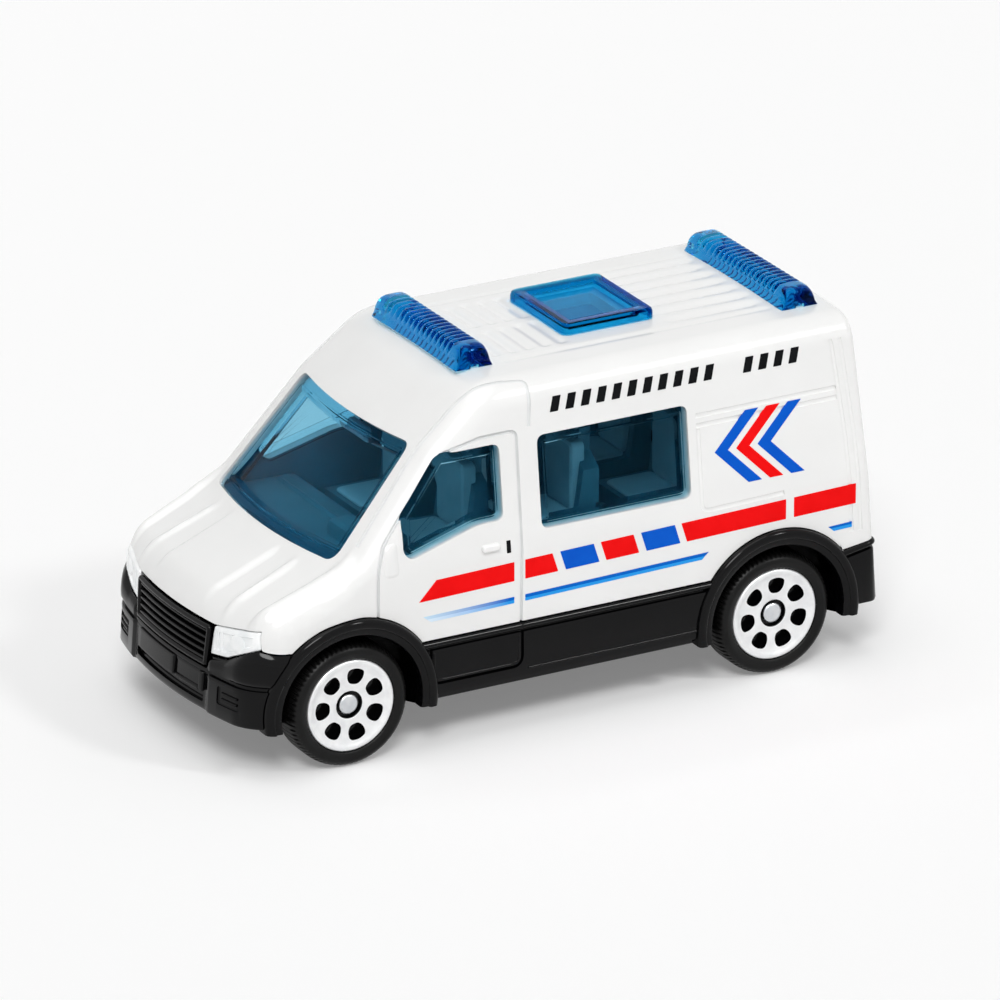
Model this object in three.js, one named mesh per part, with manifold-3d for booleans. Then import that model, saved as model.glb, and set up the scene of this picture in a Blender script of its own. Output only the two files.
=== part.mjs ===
// Pocket-size die-cast toy ambulance van: a hollow painted casting on a black plastic base, with blue
// glazing, light bars, a roof hatch, a seat moulding and four free-rolling wheels on two steel axles.
// Millimetres. +X is the nose, +Y the driver's side (left), +Z up; the tyres stand on Z = 0.
import * as THREE from "three";
import { mergeVertices } from "three/addons/utils/BufferGeometryUtils.js";
import Module from "manifold-3d";

const wasm = await Module();
wasm.setup();

// Overall form of the van
const LENGTH = 71.5;
const FRONT_OVERHANG = 12.7;
const REAR_OVERHANG = 11.8;
const BODY_WIDTH = 30.8;
const ROOF_HEIGHT = 35.8;
const ROOF_CROWN = 0.5;
const BELT_HEIGHT = 19;
const SIDE_LEAN = 7;
const SCREEN_TOP = 30.5;
const SCREEN_ANGLE = 48;
const BROW_ANGLE = 38;
const COWL_HEIGHT = 20;
const COWL_AHEAD_OF_AXLE = 1.75;
const HOOD_ANGLE = 22;
const NOSE_LEAN = 4.5;
const REAR_LEAN = 4;
const NOSE_BOW = 2.4;
const FENDER_TAPER = 0.012;
const ROOF_EDGE_RADIUS = 2.4;
const REAR_EDGE_RADIUS = 1.8;
const NOSE_RADIUS = 2.2;
const BROW_RADIUS = 1.5;
const COWL_RADIUS = 0.8;

// Casting and base
const WALL = 1.3;
const SILL_TOP = 11.6;
const SILL_BOTTOM = 5.6;
const CLADDING_PROUD = 0.3;
const FLOOR_BOTTOM = 4.6;
const FLOOR_THICKNESS = 1.6;
const ARCH_INNER = 7.4;
const ARCH_OUTER = 9.1;
const FLARE_PROUD = 0.6;
const SEAM = 0.15;
const FIT = 0.3;

// Front end, seen from ahead: insets run inward from the side of the body, heights up from the ground
const BUMPER_PROUD = 0.4;
const BUMPER_BOTTOM = 5.3;
const BUMPER_REACH = 6.2;
const GRILLE_INSET = 7.65;
const GRILLE_TOP = 14.4;
const GRILLE_BOTTOM = 9.8;
const GRILLE_SLOTS = 4;
const GRILLE_SLOT_HEIGHT = 0.55;
const GRILLE_SLOT_DEPTH = 0.9;
const GRILLE_FRAME = 0.8;
const LAMP_INNER_INSET = 8;
const LAMP_INNER_HEIGHT = 11.2;
const LAMP_STEP_INSET = 5.3;
const LAMP_STEP_HEIGHT = 11.6;
const LAMP_OUTER_INSET = 1.6;
const LAMP_OUTER_HEIGHT = 13.4;
const LAMP_TOP_INSET = 1.9;
const LAMP_TOP_HEIGHT = 15.3;
const LAMP_PROUD = 0.1;
const BUMPER_SIDE_TOP = 12.9;
const INTAKE_INSET = 9;
const INTAKE_BOTTOM = 6.2;
const INTAKE_TOP = 7.2;
const FOG_INNER_INSET = 6;
const FOG_OUTER_INSET = 2.8;
const FOG_BOTTOM = 7.4;
const FOG_TOP = 9.6;
const RECESS_DEPTH = 0.7;

// Windows
const GLASS_GAP = 0.3;
const GLASS = 0.9;
const GLASS_BOTTOM = 18.2;
const PANE_SUNK = 0.25;
const WINDOW_CORNER = 0.9;
const WINDOW_TOP = 29.9;
const SIDE_WINDOW_BOTTOM = 20.6;
const SIDE_WINDOW_LENGTH = 16.6;
const DOOR_PILLAR = 4.1;
const DOOR_WINDOW_LENGTH = 11;
const DOOR_WINDOW_BOTTOM = 22.3;
const DOOR_WINDOW_BEHIND_COWL = 7.4;
const DOOR_WINDOW_SILL = 2.8;
const DOOR_WINDOW_DROP = 2.1;
const DOOR_WINDOW_PILLAR = 4.4;
const DOOR_WINDOW_PILLAR_FOOT = 2.2;
const DOOR_WINDOW_NICK = 0.8;
const SCREEN_TOP_INSET = 4.7;
const SCREEN_BOTTOM_INSET = 3.9;
const SCREEN_PANE_BOTTOM = 20.7;
const SCREEN_PANE_TOP = 30.3;
const REAR_WINDOW_INNER = 1.3;
const REAR_WINDOW_INSET = 4.2;
const REAR_WINDOW_BOTTOM = 21;
const REAR_WINDOW_TOP = 29.6;

// Roof fittings
const BAR_DEPTH = 4.2;
const BAR_HEIGHT = 2.3;
const BAR_SLOPE = 1;
const FRONT_BAR_INSET = 6.8;
const FRONT_BAR_SETBACK = 0.4;
const REAR_BAR_INSET = 5.8;
const REAR_BAR_SETBACK = 4.1;
const PEG_RADIUS = 1;
const PEG_SPREAD = 5;
const HATCH_LENGTH = 9.6;
const HATCH_WIDTH = 10.7;
const HATCH_HEIGHT = 1.1;
const HATCH_FRAME = 1.2;
const HATCH_SINK = 0.5;
const HATCH_BEHIND_CENTRE = 10.5;

// Wheels and axles
const TYRE_RADIUS = 6.35;
const TYRE_WIDTH = 4.4;
const TYRE_SHOULDER = 0.5;
const TYRE_BULGE = 0.15;
const RIM_RADIUS = 4.7;
const TYRE_SEAT = 0.1;
const WHEEL_INSET = 0.45;
const DISH = 0.55;
const AXLE_RADIUS = 0.75;
const AXLE_HEAD_RADIUS = 1.05;
const AXLE_CROWN_RADIUS = 0.735;
const AXLE_HEAD = 0.6;
const RUN_CLEARANCE = 0.1;
const HUB_POCKET_RADIUS = 1.4;
const HUB_POCKET_DEPTH = 1.3;
const HUB_RADIUS = 2;
const WEB_THICKNESS = 1.5;
const RIM_DEPTH = 2.6;
const RIM_LIP = 0.6;
const WHEEL_HOLES = 7;
const HOLE_INNER = 2.15;
const HOLE_OUTER = 3.75;
const HOLE_HALF_WIDTH = 0.85;
const WHEEL_SIDES = 28;
const SHAFT_SIDES = 16;
const CURVE_STEPS = 4;
const HOLE_STEPS = 3;

// Bearings and seats
const TYRE_TO_WELL = 0.95;
const WELL_WALL = 1;
const WELL_WALL_HALF_LENGTH = 4;
const TUB_SEAT = 13.6;
const TUB_FLOOR = 1;
const TUB_TO_GLASS = 0.7;
const TUB_AHEAD_OF_AXLE = 1.5;
const TUB_BEHIND_AXLE = 4.4;
const SEAT_WIDTH = 7.2;
const SEAT_TO_TUB_SIDE = 3.2;
const SEAT_BASE = 3.6;
const SEAT_DEPTH = 6;
const SEAT_BACK_TOP = 26.6;
const SEAT_BACK = 2.4;
const SEAT_SHOULDER_DROP = 3.6;
const SEAT_ROWS = 3;
const SEAT_PITCH = 12;
const SEAT_AHEAD_OF_PILLAR = 0.6;
const DASH_TOP = 19.6;
const DASH_DEPTH = 3.4;
const DASH_INSET = 1.2;
const DASH_BEHIND_COWL = 6.2;
const STEERING_RADIUS = 2.2;
const STEERING_RIM = 0.4;
const STEERING_TILT = 60;

// Fasteners
const SCREW_RADIUS = 0.8;
const SCREW_HEAD_RADIUS = 1.6;
const SCREW_HEAD = 0.8;
const SCREW_LENGTH = 7;
const SCREW_SLOT = 0.5;
const SCREW_SLOT_ARM = 0.96;
const POST_RADIUS = 2;
const FRONT_POST_AHEAD_OF_AXLE = 6.2;
const REAR_POST_BEHIND_AXLE = 7.2;
const REAR_POST_TOP = 17.4;
const WEB = 1.2;

// Places worked out from the sizes above
const NOSE_X = LENGTH / 2;
const TAIL_X = -LENGTH / 2;
const FRONT_AXLE_X = NOSE_X - FRONT_OVERHANG;
const REAR_AXLE_X = TAIL_X + REAR_OVERHANG;
const AXLE_X = { front: FRONT_AXLE_X, rear: REAR_AXLE_X };
const AXLE_Z = TYRE_RADIUS * Math.cos(Math.PI / WHEEL_SIDES);
const HALF_WIDTH = BODY_WIDTH / 2;
const FLOOR_TOP = FLOOR_BOTTOM + FLOOR_THICKNESS;
const FAR = LENGTH;
const COWL_X = FRONT_AXLE_X + COWL_AHEAD_OF_AXLE;
const SCREEN_TOP_X = COWL_X - (SCREEN_TOP - COWL_HEIGHT) / tangent(SCREEN_ANGLE);
const ROOF_FRONT_X = SCREEN_TOP_X - (ROOF_HEIGHT - SCREEN_TOP) / tangent(BROW_ANGLE);
const GLASS_OUTER = -(WALL + GLASS_GAP);
const GLASS_INNER = GLASS_OUTER - GLASS;
const WHEEL_FACE = HALF_WIDTH - WHEEL_INSET;
const WELL_WALL_OUTER = WHEEL_FACE - TYRE_WIDTH - TYRE_TO_WELL;
const TUB_TOP = TUB_SEAT + SEAM + TUB_FLOOR;
const TUB_HALF = HALF_WIDTH + GLASS_INNER - TUB_TO_GLASS;
const SEAT_OFFSET = TUB_HALF - SEAT_TO_TUB_SIDE - SEAT_WIDTH / 2;
const FRONT_BAR_HALF = HALF_WIDTH - FRONT_BAR_INSET;
const REAR_BAR_HALF = HALF_WIDTH - REAR_BAR_INSET;

// Material finishes
const MATERIALS = {
  paint: { color: 0xf6f6f4, roughness: 0.22, metalness: 0 },
  cladding: { color: 0x1b1b1c, roughness: 0.42, metalness: 0 },
  glazing: { color: 0x1f7fae, roughness: 0.12, metalness: 0 },
  beacon: { color: 0x0b5fa8, roughness: 0.15, metalness: 0 },
  moulding: { color: 0x8d9499, roughness: 0.55, metalness: 0 },
  rubber: { color: 0x161616, roughness: 0.65, metalness: 0 },
  wheel: { color: 0xd8dadc, roughness: 0.28, metalness: 0.85 },
  steel: { color: 0xb9bcc0, roughness: 0.3, metalness: 1 },
  lamp: { color: 0xe4e7ea, roughness: 0.12, metalness: 0.6 },
};

function tangent(degrees) {
  return Math.tan(THREE.MathUtils.degToRad(degrees));
}

// Solid helpers: a three.js geometry becomes a solid for joining and cutting, and comes back as a mesh
function solidOf(geometry) {
  const bare = geometry.clone();
  bare.deleteAttribute("normal");
  bare.deleteAttribute("uv");
  const merged = mergeVertices(bare, 1e-4);
  const vertProperties = new Float32Array(merged.attributes.position.array);
  const triVerts = new Uint32Array(merged.index.array);
  return new wasm.Manifold(new wasm.Mesh({ numProp: 3, vertProperties, triVerts }));
}

function meshOf(name, solid, material) {
  const result = solid.getMesh();
  const geometry = new THREE.BufferGeometry();
  geometry.setAttribute("position", new THREE.BufferAttribute(new Float32Array(result.vertProperties), 3));
  geometry.setIndex(new THREE.BufferAttribute(new Uint32Array(result.triVerts), 1));
  geometry.computeVertexNormals();
  const mesh = new THREE.Mesh(geometry, new THREE.MeshStandardMaterial(MATERIALS[material]));
  mesh.name = name;
  return mesh;
}

function joined(solids) {
  return solids.reduce((sum, solid) => sum.add(solid));
}

function block(x0, x1, y0, y1, z0, z1) {
  const box = new THREE.BoxGeometry(x1 - x0, y1 - y0, z1 - z0);
  box.translate((x0 + x1) / 2, (y0 + y1) / 2, (z0 + z1) / 2);
  return solidOf(box);
}

function upright(radius, x, y, z0, z1, sides = SHAFT_SIDES) {
  const geometry = new THREE.CylinderGeometry(radius, radius, z1 - z0, sides);
  geometry.rotateX(Math.PI / 2).translate(x, y, (z0 + z1) / 2);
  return solidOf(geometry);
}

function crossways(radius, x, z, y0, y1, sides = WHEEL_SIDES) {
  const geometry = new THREE.CylinderGeometry(radius, radius, y1 - y0, sides);
  geometry.rotateY(Math.PI / sides).translate(x, (y0 + y1) / 2, z);
  return solidOf(geometry);
}

// An outline is a list of [u, v] points, counter-clockwise. Each side moves out by the distance.
function grown(outline, distance) {
  const count = outline.length;
  const lines = outline.map((point, i) => {
    const next = outline[(i + 1) % count];
    const run = [next[0] - point[0], next[1] - point[1]];
    const size = Math.hypot(...run);
    const normal = [run[1] / size, -run[0] / size];
    return { normal, offset: normal[0] * point[0] + normal[1] * point[1] + distance };
  });
  return lines.map((line, i) => {
    const before = lines[(i + count - 1) % count];
    const cross = before.normal[0] * line.normal[1] - before.normal[1] * line.normal[0];
    return [
      (before.offset * line.normal[1] - line.offset * before.normal[1]) / cross,
      (line.offset * before.normal[0] - before.offset * line.normal[0]) / cross,
    ];
  });
}

function mirrored(outline) {
  return outline.map(([u, v]) => [-u, v]).reverse();
}

function shapeOf(outline, corner = 0) {
  const shape = new THREE.Shape();
  if (corner === 0) {
    return shape.setFromPoints(outline.map(([u, v]) => new THREE.Vector2(u, v)));
  }
  const points = outline.map(([u, v]) => new THREE.Vector2(u, v));
  points.forEach((point, i) => {
    const before = points[(i + points.length - 1) % points.length];
    const after = points[(i + 1) % points.length];
    const cut = Math.min(corner, point.distanceTo(before) / 2, point.distanceTo(after) / 2);
    const start = point.clone().lerp(before, cut / point.distanceTo(before));
    const end = point.clone().lerp(after, cut / point.distanceTo(after));
    if (i === 0) {
      shape.moveTo(start.x, start.y);
    } else {
      shape.lineTo(start.x, start.y);
    }
    shape.quadraticCurveTo(point.x, point.y, end.x, end.y);
  });
  shape.closePath();
  return shape;
}

function prism(shape, depth, curveSegments = CURVE_STEPS) {
  return new THREE.ExtrudeGeometry(shape, { depth, bevelEnabled: false, curveSegments });
}

// Prisms whose outline is drawn in side view (x, z), front view (y, z) or plan view (x, y)
function sideView(shape, y0, y1) {
  return solidOf(prism(shape, y1 - y0).rotateX(Math.PI / 2).translate(0, y1, 0));
}

const FRONT_VIEW = new THREE.Matrix4().makeBasis(
  new THREE.Vector3(0, 1, 0),
  new THREE.Vector3(0, 0, 1),
  new THREE.Vector3(1, 0, 0),
);

function frontView(shape, x0, x1) {
  return solidOf(prism(shape, x1 - x0).applyMatrix4(FRONT_VIEW).translate(x0, 0, 0));
}

function onBothSides(make) {
  return make(1).add(make(-1));
}

function sidePair(shape, y0, y1) {
  return onBothSides((side) => (side > 0 ? sideView(shape, y0, y1) : sideView(shape, -y1, -y0)));
}

// Signed distance to the van's form, made of planes with rounded edges
function roundedMax(a, b, radius) {
  return Math.min(-radius, Math.max(a, b)) + Math.hypot(Math.max(a + radius, 0), Math.max(b + radius, 0));
}

function roundedMin(a, b, radius) {
  return Math.max(radius, Math.min(a, b)) - Math.hypot(Math.max(radius - a, 0), Math.max(radius - b, 0));
}

function slopeDistance(x, z, lineX, lineZ, degrees) {
  const angle = THREE.MathUtils.degToRad(degrees);
  return (x - lineX) * Math.sin(angle) + (z - lineZ) * Math.cos(angle);
}

const FORM_BOTTOM = FLOOR_BOTTOM - 2 * WALL;

function vanForm(x, y, z) {
  const across = y / HALF_WIDTH;
  const along = x + NOSE_BOW * across * across;
  const roof = z - ROOF_HEIGHT + ROOF_CROWN * across * across;
  const brow = slopeDistance(along, z, SCREEN_TOP_X, SCREEN_TOP, BROW_ANGLE);
  const screen = slopeDistance(along, z, COWL_X, COWL_HEIGHT, SCREEN_ANGLE);
  const hood = slopeDistance(along, z, COWL_X, COWL_HEIGHT, HOOD_ANGLE);
  const nose = slopeDistance(along, z, NOSE_X - BUMPER_PROUD, BUMPER_BOTTOM, 90 - NOSE_LEAN);
  const cab = Math.max(roundedMax(roof, brow, BROW_RADIUS), screen);
  const engineBay = Math.max(hood, z - SCREEN_TOP);
  const top = roundedMax(roundedMin(cab, engineBay, COWL_RADIUS), nose, NOSE_RADIUS);

  const ahead = Math.max(0, x - FRONT_AXLE_X);
  const out = Math.abs(y) - HALF_WIDTH + FENDER_TAPER * ahead * ahead;
  const lean = THREE.MathUtils.degToRad(SIDE_LEAN);
  const side = Math.max(out, out * Math.cos(lean) + (z - BELT_HEIGHT) * Math.sin(lean));
  const rear = slopeDistance(-x, z, -(TAIL_X + CLADDING_PROUD), SILL_BOTTOM, 90 - REAR_LEAN);
  const form = roundedMax(roundedMax(top, side, ROOF_EDGE_RADIUS), rear, REAR_EDGE_RADIUS);
  return Math.max(form, FORM_BOTTOM - z);
}

function lineHeight(x, lineX, lineZ, degrees) {
  return lineZ - (x - lineX) * tangent(degrees);
}

function heightAt(x) {
  const brow = lineHeight(x, SCREEN_TOP_X, SCREEN_TOP, BROW_ANGLE);
  const screen = lineHeight(x, COWL_X, COWL_HEIGHT, SCREEN_ANGLE);
  const hood = lineHeight(x, COWL_X, COWL_HEIGHT, HOOD_ANGLE);
  return Math.min(ROOF_HEIGHT, brow, Math.max(screen, hood));
}

// Grid stations of the skin: close together where the form bends, wide apart where it is flat
const MARGIN = 2;
const CORE = 5.5;
const TAIL_STEPS = [1, 3, CORE];
const NOSE_STEPS = [3, 1.5, 0.5];
const BROW_REACH = 2;
const COWL_REACH = 1;
const ROOF_STEPS = 4;
const HALVINGS = 40;

function spread(start, end, count) {
  return Array.from({ length: count }, (_, i) => THREE.MathUtils.lerp(start, end, (i + 1) / (count + 1)));
}

const LENGTH_STATIONS = [
  TAIL_X - MARGIN,
  ...TAIL_STEPS.map((step) => TAIL_X + step),
  ...spread(TAIL_X + CORE, ROOF_FRONT_X - BROW_REACH, ROOF_STEPS),
  ROOF_FRONT_X - BROW_REACH,
  ROOF_FRONT_X,
  ROOF_FRONT_X + BROW_REACH,
  SCREEN_TOP_X,
  (SCREEN_TOP_X + COWL_X) / 2,
  COWL_X - COWL_REACH,
  COWL_X,
  COWL_X + COWL_REACH,
  (COWL_X + COWL_REACH + NOSE_X - NOSE_STEPS[0]) / 2,
  ...NOSE_STEPS.map((step) => NOSE_X - step),
  NOSE_X + MARGIN,
];
const WIDTH_STATIONS = [-1, -0.95, -0.86, -0.5, 0, 0.5, 0.86, 0.95, 1];
const HEIGHT_STATIONS = [0, 0.12, 0.24, 0.36, 0.5, 0.72, 0.88, 0.95, 1];

function clamp(value, low, high) {
  return Math.min(Math.max(value, low), high);
}

// The van's form grown by the level (shrunk where it is negative): each point of a gridded box slides
// along a ray towards a core inside the van until it meets the surface.
function vanSolid(level) {
  const spans = [LENGTH_STATIONS.length - 1, WIDTH_STATIONS.length - 1, HEIGHT_STATIONS.length - 1];
  const geometry = new THREE.BoxGeometry(...spans, ...spans);
  const position = geometry.attributes.position;
  const start = new THREE.Vector3();
  const end = new THREE.Vector3();
  const point = new THREE.Vector3();
  for (let i = 0; i < position.count; i += 1) {
    const x = LENGTH_STATIONS[Math.round(position.getX(i) + spans[0] / 2)];
    const y = WIDTH_STATIONS[Math.round(position.getY(i) + spans[1] / 2)] * (HALF_WIDTH + MARGIN);
    const share = HEIGHT_STATIONS[Math.round(position.getZ(i) + spans[2] / 2)];
    const z = THREE.MathUtils.lerp(FORM_BOTTOM - MARGIN, heightAt(x) + MARGIN, share);
    end.set(x, y, z);
    start.x = clamp(x, TAIL_X + CORE, NOSE_X - CORE);
    start.y = clamp(y, CORE - HALF_WIDTH, HALF_WIDTH - CORE);
    start.z = clamp(z, FORM_BOTTOM + CORE, heightAt(start.x) - CORE);
    let inside = 0;
    let outside = 1;
    for (let step = 0; step < HALVINGS; step += 1) {
      const middle = (inside + outside) / 2;
      point.lerpVectors(start, end, middle);
      if (vanForm(point.x, point.y, point.z) < level) {
        inside = middle;
      } else {
        outside = middle;
      }
    }
    point.lerpVectors(start, end, inside);
    position.setXYZ(i, point.x, point.y, point.z);
  }
  return solidOf(geometry);
}

function layer(outer, inner) {
  return vanSolid(outer).subtract(vanSolid(inner));
}

const above = (z) => block(-FAR, FAR, -FAR, FAR, z, FAR);
const between = (z0, z1) => block(-FAR, FAR, -FAR, FAR, z0, z1);

// Outlines of the windows, in side view and in front view
const DOOR_WINDOW_FRONT = COWL_X - DOOR_WINDOW_BEHIND_COWL;
const DOOR_WINDOW_REAR = DOOR_WINDOW_FRONT - DOOR_WINDOW_LENGTH;
const SIDE_WINDOW_FRONT = DOOR_WINDOW_REAR - DOOR_PILLAR;
const SIDE_WINDOW_REAR = SIDE_WINDOW_FRONT - SIDE_WINDOW_LENGTH;
const SIDE_WINDOW = [
  [SIDE_WINDOW_REAR, SIDE_WINDOW_BOTTOM],
  [SIDE_WINDOW_FRONT, SIDE_WINDOW_BOTTOM],
  [SIDE_WINDOW_FRONT, WINDOW_TOP],
  [SIDE_WINDOW_REAR, WINDOW_TOP],
];
const DOOR_WINDOW = [
  [DOOR_WINDOW_REAR, DOOR_WINDOW_BOTTOM],
  [DOOR_WINDOW_REAR + DOOR_WINDOW_SILL, DOOR_WINDOW_BOTTOM],
  [DOOR_WINDOW_FRONT - DOOR_WINDOW_NICK, DOOR_WINDOW_BOTTOM - DOOR_WINDOW_DROP],
  [DOOR_WINDOW_FRONT, DOOR_WINDOW_BOTTOM - DOOR_WINDOW_DROP + DOOR_WINDOW_NICK],
  [DOOR_WINDOW_FRONT, DOOR_WINDOW_BOTTOM + DOOR_WINDOW_PILLAR_FOOT],
  [DOOR_WINDOW_FRONT - DOOR_WINDOW_PILLAR, WINDOW_TOP],
  [DOOR_WINDOW_REAR, WINDOW_TOP],
];
const SCREEN_BOTTOM_HALF = HALF_WIDTH - SCREEN_BOTTOM_INSET;
const SCREEN_TOP_HALF = HALF_WIDTH - SCREEN_TOP_INSET;
const WINDSCREEN = [
  [-SCREEN_BOTTOM_HALF, SCREEN_PANE_BOTTOM],
  [SCREEN_BOTTOM_HALF, SCREEN_PANE_BOTTOM],
  [SCREEN_TOP_HALF, SCREEN_PANE_TOP],
  [-SCREEN_TOP_HALF, SCREEN_PANE_TOP],
];
const REAR_WINDOW_OUTER = HALF_WIDTH - REAR_WINDOW_INSET;
const REAR_WINDOW = [
  [REAR_WINDOW_INNER, REAR_WINDOW_BOTTOM],
  [REAR_WINDOW_OUTER, REAR_WINDOW_BOTTOM],
  [REAR_WINDOW_OUTER, REAR_WINDOW_TOP],
  [REAR_WINDOW_INNER, REAR_WINDOW_TOP],
];

// Prisms through all window openings, each side drawn in by the gap
function windowPrisms(gap) {
  const drawn = (outline) => shapeOf(grown(outline, -gap), WINDOW_CORNER);
  const reach = HALF_WIDTH / 2;
  return joined([
    sidePair(drawn(SIDE_WINDOW), reach, FAR),
    sidePair(drawn(DOOR_WINDOW), reach, FAR),
    frontView(drawn(WINDSCREEN), SCREEN_TOP_X - 2 * WALL - GLASS, NOSE_X),
    frontView(drawn(REAR_WINDOW), -FAR, TAIL_X + CORE),
    frontView(drawn(mirrored(REAR_WINDOW)), -FAR, TAIL_X + CORE),
  ]);
}

// Front view of the bumper with its grille, of a headlamp, and of the whole cut-out in the casting
const GRILLE_CORNER = [HALF_WIDTH - GRILLE_INSET, GRILLE_TOP];
const LAMP_INNER_BOTTOM = [HALF_WIDTH - LAMP_INNER_INSET, LAMP_INNER_HEIGHT];
const LAMP_LOWER_STEP = [HALF_WIDTH - LAMP_STEP_INSET, LAMP_STEP_HEIGHT];
const LAMP_OUTER_BOTTOM = [HALF_WIDTH - LAMP_OUTER_INSET, LAMP_OUTER_HEIGHT];
const LAMP_OUTER_TOP = [HALF_WIDTH - LAMP_TOP_INSET, LAMP_TOP_HEIGHT];
const BUMPER_SIDE = [FAR / 2, BUMPER_SIDE_TOP];

function symmetric(half) {
  return [...half, ...mirrored(half)];
}

const BUMPER_OUTLINE = symmetric([
  [FAR / 2, BUMPER_BOTTOM],
  BUMPER_SIDE,
  LAMP_OUTER_BOTTOM,
  LAMP_LOWER_STEP,
  LAMP_INNER_BOTTOM,
  GRILLE_CORNER,
]);
const LAMP_OUTLINE = [LAMP_INNER_BOTTOM, LAMP_LOWER_STEP, LAMP_OUTER_BOTTOM, LAMP_OUTER_TOP, GRILLE_CORNER];
const FRONT_CUT_OUTLINE = symmetric([
  [FAR / 2, FORM_BOTTOM],
  BUMPER_SIDE,
  LAMP_OUTER_BOTTOM,
  LAMP_OUTER_TOP,
  GRILLE_CORNER,
]);
const BUMPER_REAR_X = FRONT_AXLE_X + BUMPER_REACH;

function archCylinders(radius, y0, axles = ["front", "rear"]) {
  return joined(
    axles.map((axle) =>
      onBothSides((side) =>
        crossways(radius, AXLE_X[axle], AXLE_Z, side > 0 ? y0 : -FAR / 2, side > 0 ? FAR / 2 : -y0),
      ),
    ),
  );
}

// Roof fittings: where they stand and how they are pegged
const FRONT_BAR_X = ROOF_FRONT_X - FRONT_BAR_SETBACK;
const REAR_BAR_X = TAIL_X + REAR_BAR_SETBACK + BAR_DEPTH;
const BAR_PLACES = [FRONT_BAR_X, REAR_BAR_X].map((front) => front - BAR_DEPTH / 2);
const HATCH_X = -HATCH_BEHIND_CENTRE;
const HATCH_HOLE = [HATCH_LENGTH / 2 - HATCH_FRAME, HATCH_WIDTH / 2 - HATCH_FRAME];
const ROOF_INNER = ROOF_HEIGHT - WALL;

function pegs(barX, radius) {
  const top = ROOF_HEIGHT + BAR_HEIGHT / 2;
  return onBothSides((side) => upright(radius, barX, side * PEG_SPREAD, ROOF_INNER, top));
}

// Screw posts of the casting
const FRONT_POST_X = FRONT_AXLE_X + FRONT_POST_AHEAD_OF_AXLE;
const REAR_POST_X = REAR_AXLE_X - REAR_POST_BEHIND_AXLE;
const POST_BOTTOM = FLOOR_TOP + SEAM;
const SCREW_SEAT = FLOOR_BOTTOM + SCREW_HEAD + SEAM;

function bodyShell() {
  const cutFront = frontView(shapeOf(grown(FRONT_CUT_OUTLINE, FIT)), BUMPER_REAR_X - FIT, FAR);
  const [holeLength, holeWidth] = HATCH_HOLE;
  const hatchHole = block(
    HATCH_X - holeLength,
    HATCH_X + holeLength,
    -holeWidth,
    holeWidth,
    ROOF_INNER - WALL,
    FAR,
  );
  const withinWall = vanSolid(-WALL / 2);
  const frontPost = upright(POST_RADIUS, FRONT_POST_X, 0, POST_BOTTOM, COWL_HEIGHT).intersect(withinWall);
  const rearPost = upright(POST_RADIUS, REAR_POST_X, 0, POST_BOTTOM, REAR_POST_TOP);
  const web = block(TAIL_X, REAR_POST_X, -WEB / 2, WEB / 2, SILL_TOP, REAR_POST_TOP);
  const rearWeb = web.intersect(withinWall);
  const bores = [FRONT_POST_X, REAR_POST_X].map((x) =>
    upright(SCREW_RADIUS + SEAM, x, 0, FLOOR_BOTTOM, SCREW_SEAT + SCREW_LENGTH + FIT),
  );
  return layer(0, -WALL)
    .intersect(above(SILL_TOP))
    .subtract(archCylinders(ARCH_OUTER + FIT, WELL_WALL_OUTER))
    .subtract(cutFront)
    .subtract(windowPrisms(0))
    .subtract(hatchHole)
    .subtract(joined(BAR_PLACES.map((x) => pegs(x, PEG_RADIUS + SEAM))))
    .add(frontPost)
    .add(rearPost)
    .add(rearWeb)
    .subtract(joined(bores));
}

function windowUnit() {
  const liner = layer(GLASS_OUTER, GLASS_INNER).intersect(above(GLASS_BOTTOM));
  const panes = windowPrisms(GLASS_GAP).intersect(layer(-PANE_SUNK, GLASS_INNER));
  return liner.add(panes);
}

function lightBar(barX, half) {
  const foot = ROOF_HEIGHT - 2 * ROOF_CROWN;
  const top = ROOF_HEIGHT + BAR_HEIGHT;
  const section = [
    [barX - BAR_DEPTH / 2, foot],
    [barX + BAR_DEPTH / 2, foot],
    [barX + BAR_DEPTH / 2, ROOF_HEIGHT + BAR_HEIGHT / 3],
    [barX + BAR_DEPTH / 2 - BAR_SLOPE, top],
    [barX - BAR_DEPTH / 2 + BAR_SLOPE / 2, top],
    [barX - BAR_DEPTH / 2, ROOF_HEIGHT + BAR_HEIGHT / 2],
  ];
  const face = symmetric([
    [half, foot],
    [half, ROOF_HEIGHT + BAR_HEIGHT / 2],
    [half - BAR_SLOPE, top],
  ]);
  return sideView(shapeOf(section, BAR_SLOPE / 2), -half, half)
    .intersect(frontView(shapeOf(face), barX - BAR_DEPTH, barX + BAR_DEPTH))
    .subtract(vanSolid(SEAM))
    .add(pegs(barX, PEG_RADIUS));
}

function roofHatch() {
  const top = ROOF_HEIGHT + HATCH_HEIGHT;
  const halfLength = HATCH_LENGTH / 2;
  const halfWidth = HATCH_WIDTH / 2;
  const [holeLength, holeWidth] = HATCH_HOLE;
  const frame = block(HATCH_X - halfLength, HATCH_X + halfLength, -halfWidth, halfWidth, ROOF_INNER, top);
  const paneTop = top - HATCH_SINK;
  const sink = block(HATCH_X - holeLength, HATCH_X + holeLength, -holeWidth, holeWidth, paneTop, FAR);
  const boss = block(
    HATCH_X - holeLength + FIT,
    HATCH_X + holeLength - FIT,
    -holeWidth + FIT,
    holeWidth - FIT,
    ROOF_INNER,
    paneTop,
  );
  return frame.subtract(vanSolid(SEAM)).subtract(sink).add(boss);
}

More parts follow.
